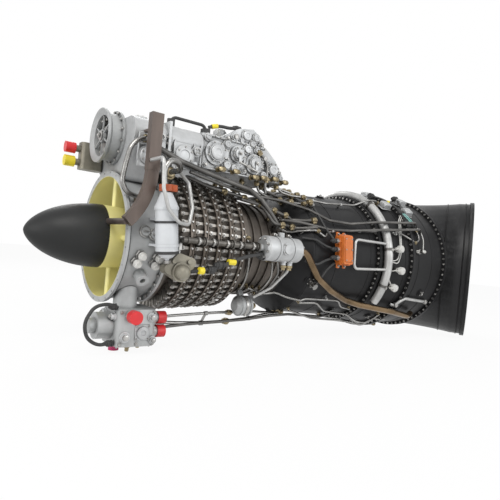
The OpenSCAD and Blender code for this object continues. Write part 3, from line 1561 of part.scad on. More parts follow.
dark_route_shares = [
  [[0.392, 57, 0.2], [0.394, 57.5, 3.4], [0.44, 61, 3.8], [0.478, 64.5, 1], [0.528, 67, 1], [0.6, 66.2, 1],
    [0.68, 66.1, 3], [0.76, 65, 3], [0.86, 63, 2.5], [0.9, 62, 0.28]],
  [[0.135, 37.5, 6.57], [0.199, 39.7, 6], [0.268, 38.4, 5.13], [0.334, 39.1, 5], [0.406, 40, 5.4],
    [0.478, 48, 1], [0.536, 58, 1], [0.61, 59.4, 1], [0.69, 59.2, 3], [0.76, 58.8, 3], [0.85, 57.6, 2.5],
    [0.89, 57, 0.28]],
  [[0.0922, 168, 7.2], [0.2, 166, 6.9], [0.36, 164, 7], [0.44, 162, 5.4], [0.5, 160, 1.2], [0.62, 160, 1.2],
    [0.66, 160, 0.38]]
];
hose_route_shares = [
  [0.0615, 33.3, 9.2], [0.109, 35.3, 8.1], [0.172, 36.4, 7.28], [0.239, 38.4, 6.71], [0.297, 40.2, 6.29],
  [0.334, 44.3, 5.1], [0.363, 54.9, 3.7], [0.38, 63, 3], [0.387, 65, 0.2]
];

module dark_pipes() {
  color("#45423f") {
    for (p = dark_route_shares) pipe(route(p), pipe_r, pipe_bend);
    pipe(route(hose_route_shares), hose_r, pipe_bend);
  }
}

// Probes: share of the core length, clock angle
probe_shares = [
  [0.769, 79.5], [0.777, 96], [0.867, 79.6], [0.769, 110], [0.769, 250], [0.777, 264], [0.867, 280]
];
probe_r = 8;
probe_h = 26;

module turbine_probes() {
  color("#d6d6d2") for (p = probe_shares) let (x = core_len * p[0])
    clock(p[1]) translate([x, 0, casing_r(x + probe_r) + seat]) {
      cylinder(r = probe_r * collar_share, h = plug_h, $fn = 6);
      translate([0, 0, plug_h]) cylinder(r = probe_r, h = probe_h - plug_h);
    }
}

harness_y = -100;
harness_rise = 8;
harness_end_share = 0.09;
connector_h = 22;

// Cable on top, from the gearbox to the control unit
module harness() {
  x0 = gearbox_x + gearbox_len + flange_t + connector_h;
  x1 = fcu_x + fcu_len * harness_end_share;
  z1 = fcu_floor + fcu_h + seat;
  top = gearbox_top + connector_h + harness_rise;
  color("#1c1c1d") union() {
    translate([x0, harness_y, gearbox_top + seat]) cylinder(r = plug_r, h = connector_h);
    translate([x1, harness_y, z1]) block(connector_h, 2 * plug_r, connector_h);
    pipe([
      [x0, harness_y, gearbox_top + plug_h], [x0, harness_y, top], [x1, harness_y, top],
      [x1, harness_y, z1 + plug_h]
    ], pipe_r, pipe_bend);
  }
}

nose_cone();
intake_casing();
deicing_duct();
compressor_casing_upper();
compressor_casing_lower();
rear_compressor_casing();
casing_bolts();
guide_vanes_0();
guide_vanes_1();
guide_vanes_2();
guide_vanes_3();
guide_vanes_4();
unison_ring_0();
unison_ring_1();
unison_ring_2();
unison_ring_3();
unison_ring_4();
control_shaft();
control_shaft_brackets();
actuator_body();
actuator_rod();
fixed_stators();
compressor_rotor();
gas_turbine_rotor();
power_turbine_rotor();
combustor_casing();
combustor_inner_casing();
combustor_liner();
fuel_manifold();
igniter_plugs();
gas_turbine_casing();
gas_turbine_nozzles();
power_turbine_casing();
power_turbine_nozzles();
hot_bolts();
air_manifold();
exhaust_flange();
exhaust_duct();
exhaust_rim();
exhaust_cone();
rear_shaft_housing();
bearings();
accessory_gearbox();
starter_housing();
starter_wheel();
valve_block();
fuel_control_unit();
filter_canister();
bleed_valve();
ignition_unit();
drain_tank();
lower_pump();
red_caps();
yellow_cap();
magenta_cap();
bleed_pipe();
pale_pipes();
dark_pipes();
turbine_probes();
harness();
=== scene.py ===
"""Looks of the turboshaft engine: finishes, small fittings, wiring and a plain studio."""

import json
import math

import bpy
from mathutils import Matrix, Vector


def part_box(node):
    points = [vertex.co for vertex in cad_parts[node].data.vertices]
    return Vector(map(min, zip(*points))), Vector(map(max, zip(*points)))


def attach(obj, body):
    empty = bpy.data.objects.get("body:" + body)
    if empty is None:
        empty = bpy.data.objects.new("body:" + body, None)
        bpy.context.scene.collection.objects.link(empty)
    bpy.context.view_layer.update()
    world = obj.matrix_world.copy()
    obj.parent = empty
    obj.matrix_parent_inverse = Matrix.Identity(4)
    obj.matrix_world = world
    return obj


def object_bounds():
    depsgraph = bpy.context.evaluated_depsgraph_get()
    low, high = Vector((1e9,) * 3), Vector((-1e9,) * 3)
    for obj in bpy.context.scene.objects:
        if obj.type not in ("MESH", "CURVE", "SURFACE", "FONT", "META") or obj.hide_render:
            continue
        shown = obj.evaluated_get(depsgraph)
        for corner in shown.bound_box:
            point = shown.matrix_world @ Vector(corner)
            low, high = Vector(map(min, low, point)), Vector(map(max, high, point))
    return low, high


bl_info = {
    "name": "Turboshaft engine looks",
    "version": (1, 0, 0),
    "blender": (4, 2, 0),
    "location": "3D View > Sidebar > Engine",
    "description": "Finishes the turboshaft engine and adds its small fittings, wiring and studio",
    "category": "Object",
}

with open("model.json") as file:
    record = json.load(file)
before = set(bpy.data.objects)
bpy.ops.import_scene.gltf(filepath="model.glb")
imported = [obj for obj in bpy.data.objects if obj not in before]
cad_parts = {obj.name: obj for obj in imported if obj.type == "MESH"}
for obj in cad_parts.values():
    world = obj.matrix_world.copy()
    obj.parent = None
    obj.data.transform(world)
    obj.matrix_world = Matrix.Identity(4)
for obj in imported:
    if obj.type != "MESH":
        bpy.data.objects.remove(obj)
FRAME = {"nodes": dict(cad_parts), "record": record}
CAD_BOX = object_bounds()
MM = 0.001
CORE = "engine_core"

# Outer casing: station along the shaft and radius, in millimetres
CASING = ((0, 188), (130, 182), (420, 168), (606, 158), (676, 228), (1010, 250), (1184, 282), (1415, 285))
# Vanes in a row, and the stations of the vane spindles and of the unison rings
VANES = 52
VANE_X = (165, 213, 261, 309, 357)
RING_X = (191, 239, 287, 335, 383)
# Clock angle of the control shaft, and its distance from the engine's shaft
CONTROL_CLOCK, CONTROL_RADIUS = 88, 266

AFT, FORE = Vector((1, 0, 0)), Vector((-1, 0, 0))
NEAR, FAR = Vector((0, -1, 0)), Vector((0, 1, 0))
UP, DOWN = Vector((0, 0, 1)), Vector((0, 0, -1))

# Angle from which an edge of an added piece stays sharp, in degrees
SHARP_FROM = 38.0
# Length on the casing that stands for one degree while a route's corners are turned, in millimetres
MM_PER_DEGREE = 4.2


def casing_radius(x):
    """Radius of the outer casing at a station, in millimetres."""
    for (x0, r0), (x1, r1) in zip(CASING, CASING[1:]):
        if x <= x1:
            return r0 + (r1 - r0) * max(0.0, x - x0) / (x1 - x0)
    return CASING[-1][1]


def at(x, clock, radius):
    """Point at a station, a clock angle in degrees (0 on top, 90 on the near side) and a radius, in metres."""
    a = math.radians(clock)
    return Vector((x, -radius * math.sin(a), radius * math.cos(a))) * MM


def out(clock):
    """Direction away from the shaft at a clock angle."""
    a = math.radians(clock)
    return Vector((0.0, -math.sin(a), math.cos(a)))


def round_way(clock):
    """Direction round the shaft at a clock angle."""
    a = math.radians(clock)
    return Vector((0.0, -math.cos(a), -math.sin(a)))


def mm(*p):
    """Point given in millimetres, in metres."""
    return Vector(p) * MM


def circle(count, start=0.5):
    """Cosine and sine of angles spread evenly round a circle, the first one a share of a step on."""
    for k in range(count):
        a = 2 * math.pi * (k + start) / count
        yield math.cos(a), math.sin(a)


def axes(axis):
    """Three square directions, the last along the axis."""
    w = Vector(axis).normalized()
    u = w.cross(UP)
    if u.length < 0.05:
        u = w.cross(FAR)
    u.normalize()
    return u, w.cross(u), w


def rounded(points, bend, steps=6):
    """The line through the points with each corner turned on a bend, in metres."""
    pts = [Vector(p) for p in points]
    line = [pts[0]]
    for a, p, b in zip(pts, pts[1:], pts[2:]):
        back, on = a - p, b - p
        cut = min(bend, 0.48 * back.length, 0.48 * on.length)
        s, e = p + back.normalized() * cut, p + on.normalized() * cut
        for k in range(steps + 1):
            t = k / steps
            line.append(s * (1 - t) ** 2 + p * 2 * t * (1 - t) + e * t * t)
    line.append(pts[-1])
    return line


def route(points, bend):
    """The line through points in millimetres with each corner turned on a bend in metres."""
    return rounded([mm(*p) for p in points], bend)


class Shape:
    """Gathers the faces of one piece."""

    def __init__(self):
        self.verts = []
        self.faces = []

    def skin(self, rings, loop=False):
        """Joins rings of points, which all have the same count, into a tube, closed at its ends or on itself."""
        start, n = len(self.verts), len(rings[0])
        for ring in rings:
            self.verts.extend(ring)
        count = len(rings)
        for i in range(count if loop else count - 1):
            a, b = start + i * n, start + ((i + 1) % count) * n
            for k in range(n):
                m = (k + 1) % n
                self.faces.append((a + k, a + m, b + m, b + k))
        if not loop:
            self.faces.append(tuple(start + k for k in reversed(range(n))))
            self.faces.append(tuple(start + (count - 1) * n + k for k in range(n)))
        return self

    def turned(self, origin, axis, outline, sides=24, loop=False, turn=0.0):
        """A turned piece: outline holds (radius, height) pairs in millimetres along the axis."""
        u, v, w = axes(axis)
        rings = []
        for r, h in outline:
            r = max(r, 0.02)
            rings.append([
                origin + (u * c + v * s) * (r * MM) + w * (h * MM)
                for c, s in circle(sides, turn * sides / (2 * math.pi))
            ])
        return self.skin(rings, loop)

    def nut(self, origin, axis, r, h, turn=0.0):
        """A hexagon nut with a washer, and the end of its stud."""
        self.turned(origin, axis, [(1.22 * r, -0.1 * h), (1.22 * r, 0.18 * h)], 12)
        self.turned(origin, axis, [(0.9 * r, 0.18 * h), (r, 0.3 * h), (r, 0.86 * h), (0.84 * r, h)], 6, turn=turn)
        self.turned(origin, axis, [(0.5 * r, 0.9 * h), (0.5 * r, 1.3 * h), (0.4 * r, 1.42 * h)], 10)
        return self

    def screw(self, origin, axis, r, h):
        """A round screw head with a hexagon socket."""
        self.turned(origin, axis, [
            (r, -0.2 * h), (r, 0.75 * h), (0.85 * r, h), (0.52 * r, h), (0.46 * r, 0.45 * h), (0.02, 0.45 * h)
        ], 12)
        return self

    def slab(self, centre, x_way, z_way, size, edge):
        """A block with softened edges: size along x_way, across and along z_way, in millimetres."""
        z = Vector(z_way).normalized()
        y = z.cross(Vector(x_way)).normalized()
        x = y.cross(z)
        half = [s / 2 * MM for s in size]
        e = min(edge * MM, 0.9 * min(half))
        ways, at_corner, signs = (x, y, z), {}, (-1, 1)
        corners = [(a, b, c) for a in signs for b in signs for c in signs]
        for s in corners:
            for flat in range(3):
                p = Vector(centre)
                for k in range(3):
                    p = p + ways[k] * s[k] * (half[k] - (0 if k == flat else e))
                at_corner[s, flat] = len(self.verts)
                self.verts.append(p)
        for flat in range(3):
            j, k = (flat + 1) % 3, (flat + 2) % 3
            for s in signs:
                corner = []
                for a, b in ((-1, -1), (1, -1), (1, 1), (-1, 1)):
                    c = [0, 0, 0]
                    c[flat], c[j], c[k] = s, a, b
                    corner.append(at_corner[tuple(c), flat])
                self.faces.append(tuple(corner if s > 0 else reversed(corner)))
        for along in range(3):
            j, k = (along + 1) % 3, (along + 2) % 3
            for a in signs:
                for b in signs:
                    quad = []
                    for s, flat in ((-1, j), (1, j), (1, k), (-1, k)):
                        c = [0, 0, 0]
                        c[along], c[j], c[k] = s, a, b
                        quad.append(at_corner[tuple(c), flat])
                    self.faces.append(tuple(quad if a * b < 0 else reversed(quad)))
        for s in corners:
            tri = [at_corner[s, f] for f in range(3)]
            self.faces.append(tuple(tri if s[0] * s[1] * s[2] > 0 else reversed(tri)))
        return self

    def tube(self, line, r, sides=10):
        """A pipe or wire of radius r millimetres along a line in metres."""
        pts = [Vector(line[0])]
        for p in line[1:]:
            if (Vector(p) - pts[-1]).length > 1e-5:
                pts.append(Vector(p))
        way = (pts[1] - pts[0]).normalized()
        u = axes(way)[0]
        rings = []
        for i, p in enumerate(pts):
            ahead = pts[min(i + 1, len(pts) - 1)] - pts[max(i - 1, 0)]
            ahead.normalize()
            u = (u - ahead * u.dot(ahead)).normalized()
            v = ahead.cross(u)
            rings.append([
                p + (u * c + v * s) * (r * MM) for c, s in circle(sides, 0)
            ])
        return self.skin(rings)

    def band(self, origin, axis, inner, outer, half, sides):
        """A flat ring: inner and outer radius and half its width, in millimetres."""
        outline = [(inner, -half), (outer, -half), (outer, half), (inner, half)]
        return self.turned(origin, axis, outline, sides, loop=True)

    def clamp(self, point, axis, foot, r, width, leg):
        """A pipe clip: a band round the pipe, a foot towards the casing and its bolt."""
        w, f = Vector(axis).normalized(), Vector(foot).normalized()
        h = width / 2
        self.band(point, w, r, r + 1.6, h, 20)
        side = w.cross(f).normalized()
        base = point + f * ((r + leg / 2) * MM) + side * ((r + 0.5) * MM)
        self.slab(base, w, f, (width, 2.6, leg + r), 0.5)
        self.nut(point + side * ((r + 2.0) * MM) + f * ((r + 4.5) * MM), side, 3.2, 3.4)
        return self

    def union_nut(self, point, axis, r, length):
        """A pipe union: sleeve, hexagon and collar."""
        self.turned(point, axis, [(1.25 * r, -0.5 * length), (1.35 * r, -0.2 * length), (1.35 * r, 0.2 * length)], 16)
        self.turned(point, axis, [(1.6 * r, -0.2 * length), (1.75 * r, -0.12 * length), (1.75 * r, 0.3 * length),
                                  (1.6 * r, 0.38 * length)], 6)
        self.turned(point, axis, [(1.3 * r, 0.38 * length), (1.3 * r, 0.52 * length), (r, 0.6 * length)], 16)
        return self

    def plug(self, point, axis, r, length):
        """A round electrical plug: shell, ribbed ring and cable clip."""
        self.turned(point, axis, [(1.1 * r, 0), (1.1 * r, 0.1 * length), (0.86 * r, 0.12 * length),
                                  (0.86 * r, 0.26 * length)], 20)
        u, v, w = axes(axis)
        rings = []
        for h in (0.26, 0.3, 0.56, 0.6):
            small = 0.94 if h in (0.26, 0.6) else 1.0
            rings.append([
                point + (u * c + v * s) * (r * small * (1.05 if k % 2 else 0.96) * MM) + w * (h * length * MM)
                for k, (c, s) in enumerate(circle(28, 0))
            ])
        self.skin(rings)
        self.turned(point, axis, [(0.8 * r, 0.6 * length), (0.78 * r, 0.8 * length), (0.5 * r, 0.86 * length),
                                  (0.5 * r, length)], 16)
        return self

    def make(self, name, paint, slot=None, body=CORE):
        """Turns the gathered faces into a piece that rides on a body and wears the paint's finish; the slot is not
        used.
        """
        slot = slot or paint
        mesh = bpy.data.meshes.new(name)
        mesh.from_pydata([tuple(v) for v in self.verts], [], self.faces)
        mesh.validate()
        mesh.shade_smooth()
        mesh.set_sharp_from_angle(angle=math.radians(SHARP_FROM))
        piece = bpy.data.objects.new(name, mesh)
        bpy.context.scene.collection.objects.link(piece)
        mesh.materials.append(FINISHES[paint])
        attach(piece, body)


def shapes(count):
    """As many empty shapes as are asked for."""
    return [Shape() for _ in range(count)]


def colour_prop(name, description, default):
    return bpy.props.FloatVectorProperty(
        name=name, description=description, subtype="COLOR", size=3, min=0.0, max=1.0, default=default
    )


def length_prop(name, description, default):
    return bpy.props.FloatProperty(
        name=name, description=description, default=default, min=0.0002, max=0.1, unit="LENGTH", subtype="DISTANCE"
    )


class EngineColours(bpy.types.PropertyGroup):
    """Colours of the engine's finishes."""

    cone_black: colour_prop("Cone black", "Satin paint of the nose cone", (0.013, 0.0135, 0.0135))
    intake_yellow: colour_prop("Intake yellow", "Paint inside the intake", (0.90, 0.84, 0.38))
    cast_silver: colour_prop("Cast silver", "Light alloy castings", (0.46, 0.47, 0.47))
    pale_casting: colour_prop("Pale casting", "Bright castings of the gearbox and control unit", (0.56, 0.57, 0.575))
    compressor_taupe: colour_prop("Compressor taupe", "Heat-browned compressor casing", (0.088, 0.077, 0.067))
    lever_bright: colour_prop("Lever bright", "Bare vane levers", (0.41, 0.385, 0.35))
    ring_brown: colour_prop("Ring brown", "Heat-browned unison rings", (0.115, 0.098, 0.083))
    bolt_bright: colour_prop("Bolt bright", "Bare fasteners", (0.52, 0.51, 0.49))
    hot_black: colour_prop("Hot black", "Paint of the hot casings", (0.009, 0.009, 0.0095))
    exhaust_black: colour_prop("Exhaust black", "Paint of the exhaust duct", (0.008, 0.008, 0.0085))
    duct_brown: colour_prop("Duct brown", "De-icing duct", (0.062, 0.048, 0.041))
    pipe_pale: colour_prop("Pipe pale", "Pale air pipes", (0.55, 0.55, 0.54))
    pipe_dark: colour_prop("Pipe dark", "Dark steel pipes", (0.080, 0.077, 0.073))
    bronze: colour_prop("Bronze", "Heat-tinted bleed pipe", (0.25, 0.172, 0.098))
    brass: colour_prop("Brass", "Plated unions and elbows", (0.33, 0.27, 0.165))
    ignition_orange: colour_prop("Ignition orange", "Paint of the ignition unit", (0.70, 0.185, 0.032))
    cap_red: colour_prop("Cap red", "Red transport caps", (0.72, 0.030, 0.035))
    cap_magenta: colour_prop("Cap magenta", "Magenta transport cap", (0.62, 0.035, 0.16))
    cap_yellow: colour_prop("Cap yellow", "Yellow cap and tags", (0.86, 0.70, 0.035))
    canister_grey: colour_prop("Canister grey", "Paint of the filter canister", (0.62, 0.64, 0.66))
    olive: colour_prop("Olive", "Olive castings of the actuator and valve block", (0.300, 0.280, 0.225))
    cable_black: colour_prop("Cable black", "Braided harness", (0.022, 0.022, 0.022))
    wire_teal: colour_prop("Wire teal", "Sleeves of the sensor wires", (0.30, 0.60, 0.56))


class EngineSizes(bpy.types.PropertyGroup):
    """Sizes of the engine's small fittings."""

    spindle_nut: length_prop("Spindle nut", "Radius of the nut on each vane spindle", 0.0046)
    ring_rivet: length_prop("Ring rivet", "Radius of the lever pin in each unison ring", 0.0038)
    cover_screw: length_prop("Cover screw", "Radius of the screws in covers", 0.0042)
    thin_pipe: length_prop("Thin pipe", "Radius of the thin steel pipes", 0.0040)
    wire: length_prop("Wire", "Radius of a single wire", 0.0018)
    cable: length_prop("Cable", "Radius of a braided cable", 0.0055)
    soft_edge: length_prop("Soft edge", "Softened edge of the castings", 0.0022)


def colours():
    return bpy.context.scene.engine_colours


def sizes():
    return bpy.context.scene.engine_sizes


def tone(colour, share):
    return tuple(min(1.0, c * share) for c in colour)


FINISHES = {}
# Near-black colour of the painted shade that darkens corners, crevices and gaps between parts
PAINTED_SHADE = (0.012, 0.011, 0.009, 1)
WHITE = (1, 1, 1, 1)


def add_node(tree, kind, values=None):
    """A new node of a kind, with values for some of its inputs."""
    node = tree.nodes.new("ShaderNode" + kind)
    for name, value in (values or {}).items():
        node.inputs[name].default_value = value
    return node


def add_math(tree, operation, first, second):
    """The result of a sum of a socket with a second socket or a number."""
    node = add_node(tree, "Math")
    node.operation = operation
    tree.links.new(first, node.inputs[0])
    if isinstance(second, float):
        node.inputs[1].default_value = second
    else:
        tree.links.new(second, node.inputs[1])
    return node.outputs[0]


def add_ramp(tree, factor, first, second, span=(0.0, 1.0)):
    """A run from one colour to another over a span of a factor."""
    ramp = add_node(tree, "ValToRGB")
    for stop, place, colour in zip(ramp.color_ramp.elements, span, (first, second)):
        stop.position = place
        stop.color = (*colour, 1)
    tree.links.new(factor, ramp.inputs["Fac"])
    return ramp.outputs["Color"]


def add_mix(tree, factor, first):
    """A mix of colours by a factor, with its second colour left to set."""
    mix = add_node(tree, "Mix")
    mix.data_type = "RGBA"
    tree.links.new(factor, mix.inputs["Factor"])
    tree.links.new(first, mix.inputs["A"])
    return mix


def add_range(tree, factor, start, end, low, high):
    """A factor carried from one range to another."""
    node = add_node(tree, "MapRange", {"From Min": start, "From Max": end, "To Min": low, "To Max": high})
    tree.links.new(factor, node.inputs["Value"])
    return node.outputs["Result"]


def finish(name, colour, second, rough, metallic=0.0, patch=7.0, grain=160.0, bump=0.08, painted_shade_depth=0.45, reach=0.010,
           stretch=(1, 1, 1)):
    """A worn finish: patches of two colours, painted shade darkening the corners, uneven gloss and a fine grain."""
    if name in FINISHES:
        return
    mat = bpy.data.materials.new(name)
    mat.use_nodes = True
    tree = mat.node_tree
    shader = tree.nodes["Principled BSDF"]
    link = tree.links.new
    place = add_node(tree, "TexCoord")
    scale = add_node(tree, "Mapping", {"Scale": stretch})
    link(place.outputs["Object"], scale.inputs["Vector"])
    blotch = add_node(tree, "TexNoise", {"Scale": patch, "Detail": 6.0, "Roughness": 0.62})
    link(scale.outputs["Vector"], blotch.inputs["Vector"])
    tint = add_ramp(tree, blotch.outputs["Fac"], colour, second, (0.36, 0.68))
    # Painted shade: the colour darkens towards near-black where nearby surfaces close in, as in corners and between
    # parts
    if painted_shade_depth:
        corner = add_node(tree, "AmbientOcclusion", {"Distance": reach})
        corner.samples = 6
        mix = add_mix(tree, add_range(tree, corner.outputs["AO"], 0.25, 0.85, painted_shade_depth, 0.0), tint)
        mix.inputs["B"].default_value = PAINTED_SHADE
        tint = mix.outputs["Result"]
    link(tint, shader.inputs["Base Color"])
    fine = add_node(tree, "TexNoise", {"Scale": grain, "Detail": 3.0})
    link(scale.outputs["Vector"], fine.inputs["Vector"])
    link(add_range(tree, blotch.outputs["Fac"], 0.3, 0.7, *rough), shader.inputs["Roughness"])
    bumps = add_node(tree, "Bump", {"Strength": bump, "Distance": 0.002})
    link(fine.outputs["Fac"], bumps.inputs["Height"])
    link(bumps.outputs["Normal"], shader.inputs["Normal"])
    shader.inputs["Metallic"].default_value = metallic
    FINISHES[name] = mat


def within_radius(mat, x_end, radius, colour):
    """Paints a colour inside a radius round the shaft, ahead of a station, in metres."""
    tree = mat.node_tree
    link = tree.links.new
    base = tree.nodes["Principled BSDF"].inputs["Base Color"]
    place = add_node(tree, "TexCoord").outputs["Object"]
    split, flat = add_node(tree, "SeparateXYZ"), add_node(tree, "CombineXYZ")
    link(place, split.inputs[0])
    for way in "YZ":
        link(split.outputs[way], flat.inputs[way])
    span = add_node(tree, "VectorMath")
    span.operation = "LENGTH"
    link(flat.outputs[0], span.inputs[0])
    inside = add_math(tree, "LESS_THAN", span.outputs["Value"], radius)
    ahead = add_math(tree, "LESS_THAN", split.outputs["X"], x_end)
    haze = add_node(tree, "TexNoise", {"Scale": 14.0, "Detail": 4.0})
    link(place, haze.inputs["Vector"])
    mix = add_mix(tree, add_math(tree, "MULTIPLY", inside, ahead), base.links[0].from_socket)
    link(add_ramp(tree, haze.outputs["Fac"], colour, tone(colour, 0.86)), mix.inputs["B"])
    link(mix.outputs["Result"], base)


def rounded_sheet(mat, reach):
    """Lets light run round the bends of a sheet as if it were rolled."""
    tree = mat.node_tree
    roll = add_node(tree, "Bevel", {"Radius": reach})
    roll.samples = 8
    for node in tree.nodes:
        if node.bl_idname == "ShaderNodeBump":
            tree.links.new(roll.outputs["Normal"], node.inputs["Normal"])


# Each finish: its colour and the shares of it in the two patches, roughness from and to, metal, density of the patches
# and of the grain, bump, depth of the painted shade in corners, its reach in metres, and stretch along the piece's own
# ways
PAINTS = (
    ("black_nose_paint", "cone_black", 1, 1.5, (0.44, 0.56), 0.0, 5, 240, 0.05, 0.2),
    ("cast_alloy", "cast_silver", 1, 0.74, (0.42, 0.6), 0.55, 9, 300, 0.12, 0.6, 0.014),
    ("intake_paint", "cast_silver", 1, 0.8, (0.42, 0.6), 0.2, 9, 300, 0.12, 0.45, 0.012),
    ("light_casting", "pale_casting", 1, 0.72, (0.4, 0.58), 0.45, 11, 320, 0.12, 0.7, 0.016),
    ("brown_duct", "duct_brown", 1, 2.4, (0.34, 0.5), 0.4, 9, 200, 0.06, 0.3, 0.01, (1, 1, 0.25)),
    ("compressor_steel", "compressor_taupe", 1, 1.9, (0.36, 0.55), 0.75, 8, 220, 0.1, 0.75, 0.02),
    ("lever_steel", "lever_bright", 1, 0.55, (0.26, 0.42), 0.85, 40, 260, 0.06, 0.7, 0.012),
    ("ring_steel", "ring_brown", 1, 1.8, (0.32, 0.48), 0.8, 24, 260, 0.06, 0.6, 0.012),
    ("linkage_steel", "lever_bright", 0.42, 0.24, (0.32, 0.48), 0.8, 30, 260, 0.08, 0.6),
    ("bolt_steel", "bolt_bright", 1, 0.6, (0.24, 0.4), 0.9, 60, 300, 0.05, 0.5, 0.008),
    ("bright_steel", "bolt_bright", 0.62, 0.4, (0.2, 0.34), 0.95, 30, 300, 0.04, 0.4, 0.008),
    ("blade_steel", "bolt_bright", 0.7, 0.45, (0.3, 0.45), 0.9, 30, 200, 0.05, 0.5),
    ("hot_alloy", "compressor_taupe", 1.6, 1, (0.4, 0.6), 0.8, 14, 200, 0.08, 0.5),
    ("black_casing", "hot_black", 1, 2.1, (0.36, 0.5), 0.0, 6, 260, 0.09, 0.3),
    ("black_exhaust", "exhaust_black", 1, 1.7, (0.26, 0.42), 0.0, 7, 200, 0.04, 0.2, 0.01, (1, 1, 0.2)),
    ("pale_pipe", "pipe_pale", 1, 0.72, (0.34, 0.5), 0.5, 18, 240, 0.05, 0.5),
    ("bronze_pipe", "bronze", 1, 0.5, (0.18, 0.3), 0.95, 11, 220, 0.03, 0.4),
    ("dark_pipe", "pipe_dark", 1, 2.0, (0.3, 0.46), 0.7, 16, 220, 0.05, 0.4),
    ("olive_casting", "olive", 1, 0.62, (0.42, 0.58), 0.45, 14, 300, 0.12, 0.7, 0.014),
    ("grey_canister", "canister_grey", 1, 0.86, (0.36, 0.5), 0.1, 9, 240, 0.04, 0.35),
    ("orange_paint", "ignition_orange", 1, 0.7, (0.36, 0.5), 0.0, 10, 260, 0.05, 0.5),
    ("red_plastic", "cap_red", 1, 0.78, (0.34, 0.46), 0.0, 20, 160, 0.03, 0.3),
    ("yellow_plastic", "cap_yellow", 1, 0.84, (0.36, 0.5), 0.0, 20, 160, 0.03, 0.3),
    ("magenta_plastic", "cap_magenta", 1, 0.78, (0.34, 0.46), 0.0, 20, 160, 0.03, 0.3),
    ("black_cable", "cable_black", 1, 2.2, (0.5, 0.66), 0.0, 60, 900, 0.3, 0.2),
    ("brass_fitting", "brass", 1, 0.6, (0.26, 0.4), 0.85, 40, 260, 0.04, 0.5, 0.008),
    ("teal_sleeve", "wire_teal", 1, 0.75, (0.4, 0.55), 0.0, 60, 300, 0.04, 0.2),
)
# Edge of the yellow paint in the intake: its last station and its radius, in metres
INTAKE_PAINT_END, INTAKE_PAINT_RADIUS = 0.1285, 0.18145
# Reach of the rolled bends of the exhaust duct, in metres
EXHAUST_BEND = 0.045


def make_finishes():
    """Every finish of the engine, by the record's slot names and a few of its own."""
    c = colours()
    for name, colour, first, second, *rest in PAINTS:
        base = getattr(c, colour)
        finish(name, tone(base, first), tone(base, second), *rest)
    finish("white_wire", (0.66, 0.66, 0.64), (0.5, 0.49, 0.46), (0.4, 0.55), 0.0, 60, 300, 0.04, 0.3)
    finish("clip_orange", (0.42, 0.085, 0.02), (0.3, 0.06, 0.02), (0.4, 0.55), 0.0, 40, 300, 0.05, 0.4)
    within_radius(FINISHES["intake_paint"], INTAKE_PAINT_END, INTAKE_PAINT_RADIUS, c.intake_yellow)
    for name, level in (("black_casing", 0.18), ("black_exhaust", 0.3), ("black_nose_paint", 0.3)):
        FINISHES[name].node_tree.nodes["Principled BSDF"].inputs["Specular IOR Level"].default_value = level
    rounded_sheet(FINISHES["black_exhaust"], EXHAUST_BEND)


class ENGINE_OT_finishes(bpy.types.Operator):
    """Gives every solid of the engine its finish"""

    bl_idname = "engine.finishes"
    bl_label = "Finishes"

    own = {"intake_casing": "intake_paint"}
    softened = ("accessory_gearbox", "fuel_control_unit", "lower_pump", "ignition_unit", "valve_block", "actuator_body",
                "deicing_duct")

    def execute(self, context):
        make_finishes()
        slots = {s["node"]: s["material_slot"] for s in FRAME["record"]["subparts"]}
        for node, piece in FRAME["nodes"].items():
            piece.data.materials.clear()
            piece.data.materials.append(FINISHES[self.own.get(node, slots[node])])
        for node in self.softened:
            edge = FRAME["nodes"][node].modifiers.new("soft_edge", "BEVEL")
            edge.width = sizes().soft_edge
            edge.segments = 2
            edge.limit_method = "ANGLE"
            edge.angle_limit = math.radians(50)
            edge.harden_normals = False
        return {"FINISHED"}


class ENGINE_OT_lever_fasteners(bpy.types.Operator):
    """Puts a nut on every vane spindle and a pin through every lever end"""

    bl_idname = "engine.lever_fasteners"
    bl_label = "Lever fasteners"

    def execute(self, context):
        nut, pin = sizes().spindle_nut / MM, sizes().ring_rivet / MM
        half = 180 / VANES
        for j, (vane_x, ring_x) in enumerate(zip(VANE_X, RING_X)):
            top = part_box(f"guide_vanes_{j}")[1].z / MM / math.cos(math.radians(half)) - 1.0
            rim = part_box(f"unison_ring_{j}")[1].z / MM
            nuts, pins = shapes(2)
            for i in range(VANES):
                clock = half + i * 2 * half
                nuts.nut(at(vane_x, clock, top), out(clock), nut, 4.2, turn=0.3 * i)
                pins.turned(at(ring_x, clock, rim - 0.6), out(clock), [(pin, 0), (pin, 1.6), (0.7 * pin, 2.6)], 10)
            nuts.make(f"spindle_nuts_{j}", "bolt_steel")
            pins.make(f"lever_pins_{j}", "bolt_steel", body=f"unison_ring_{j}")
        return {"FINISHED"}


def laid(places, bend=16.0, step=12.0):
    """A line on the casing through (station, clock, lift) places with its corners turned, in metres."""
    line = rounded([Vector((x, c * MM_PER_DEGREE, lift)) for x, c, lift in places], bend, 5)
    full = []
    for a, b in zip(line, line[1:]):
        n = max(1, int((b - a).length / step))
        full.extend(a.lerp(b, k / n) for k in range(n))
    full.append(line[-1])
    return [at(p.x, p.y / MM_PER_DEGREE, casing_radius(p.x) + p.z) for p in full]


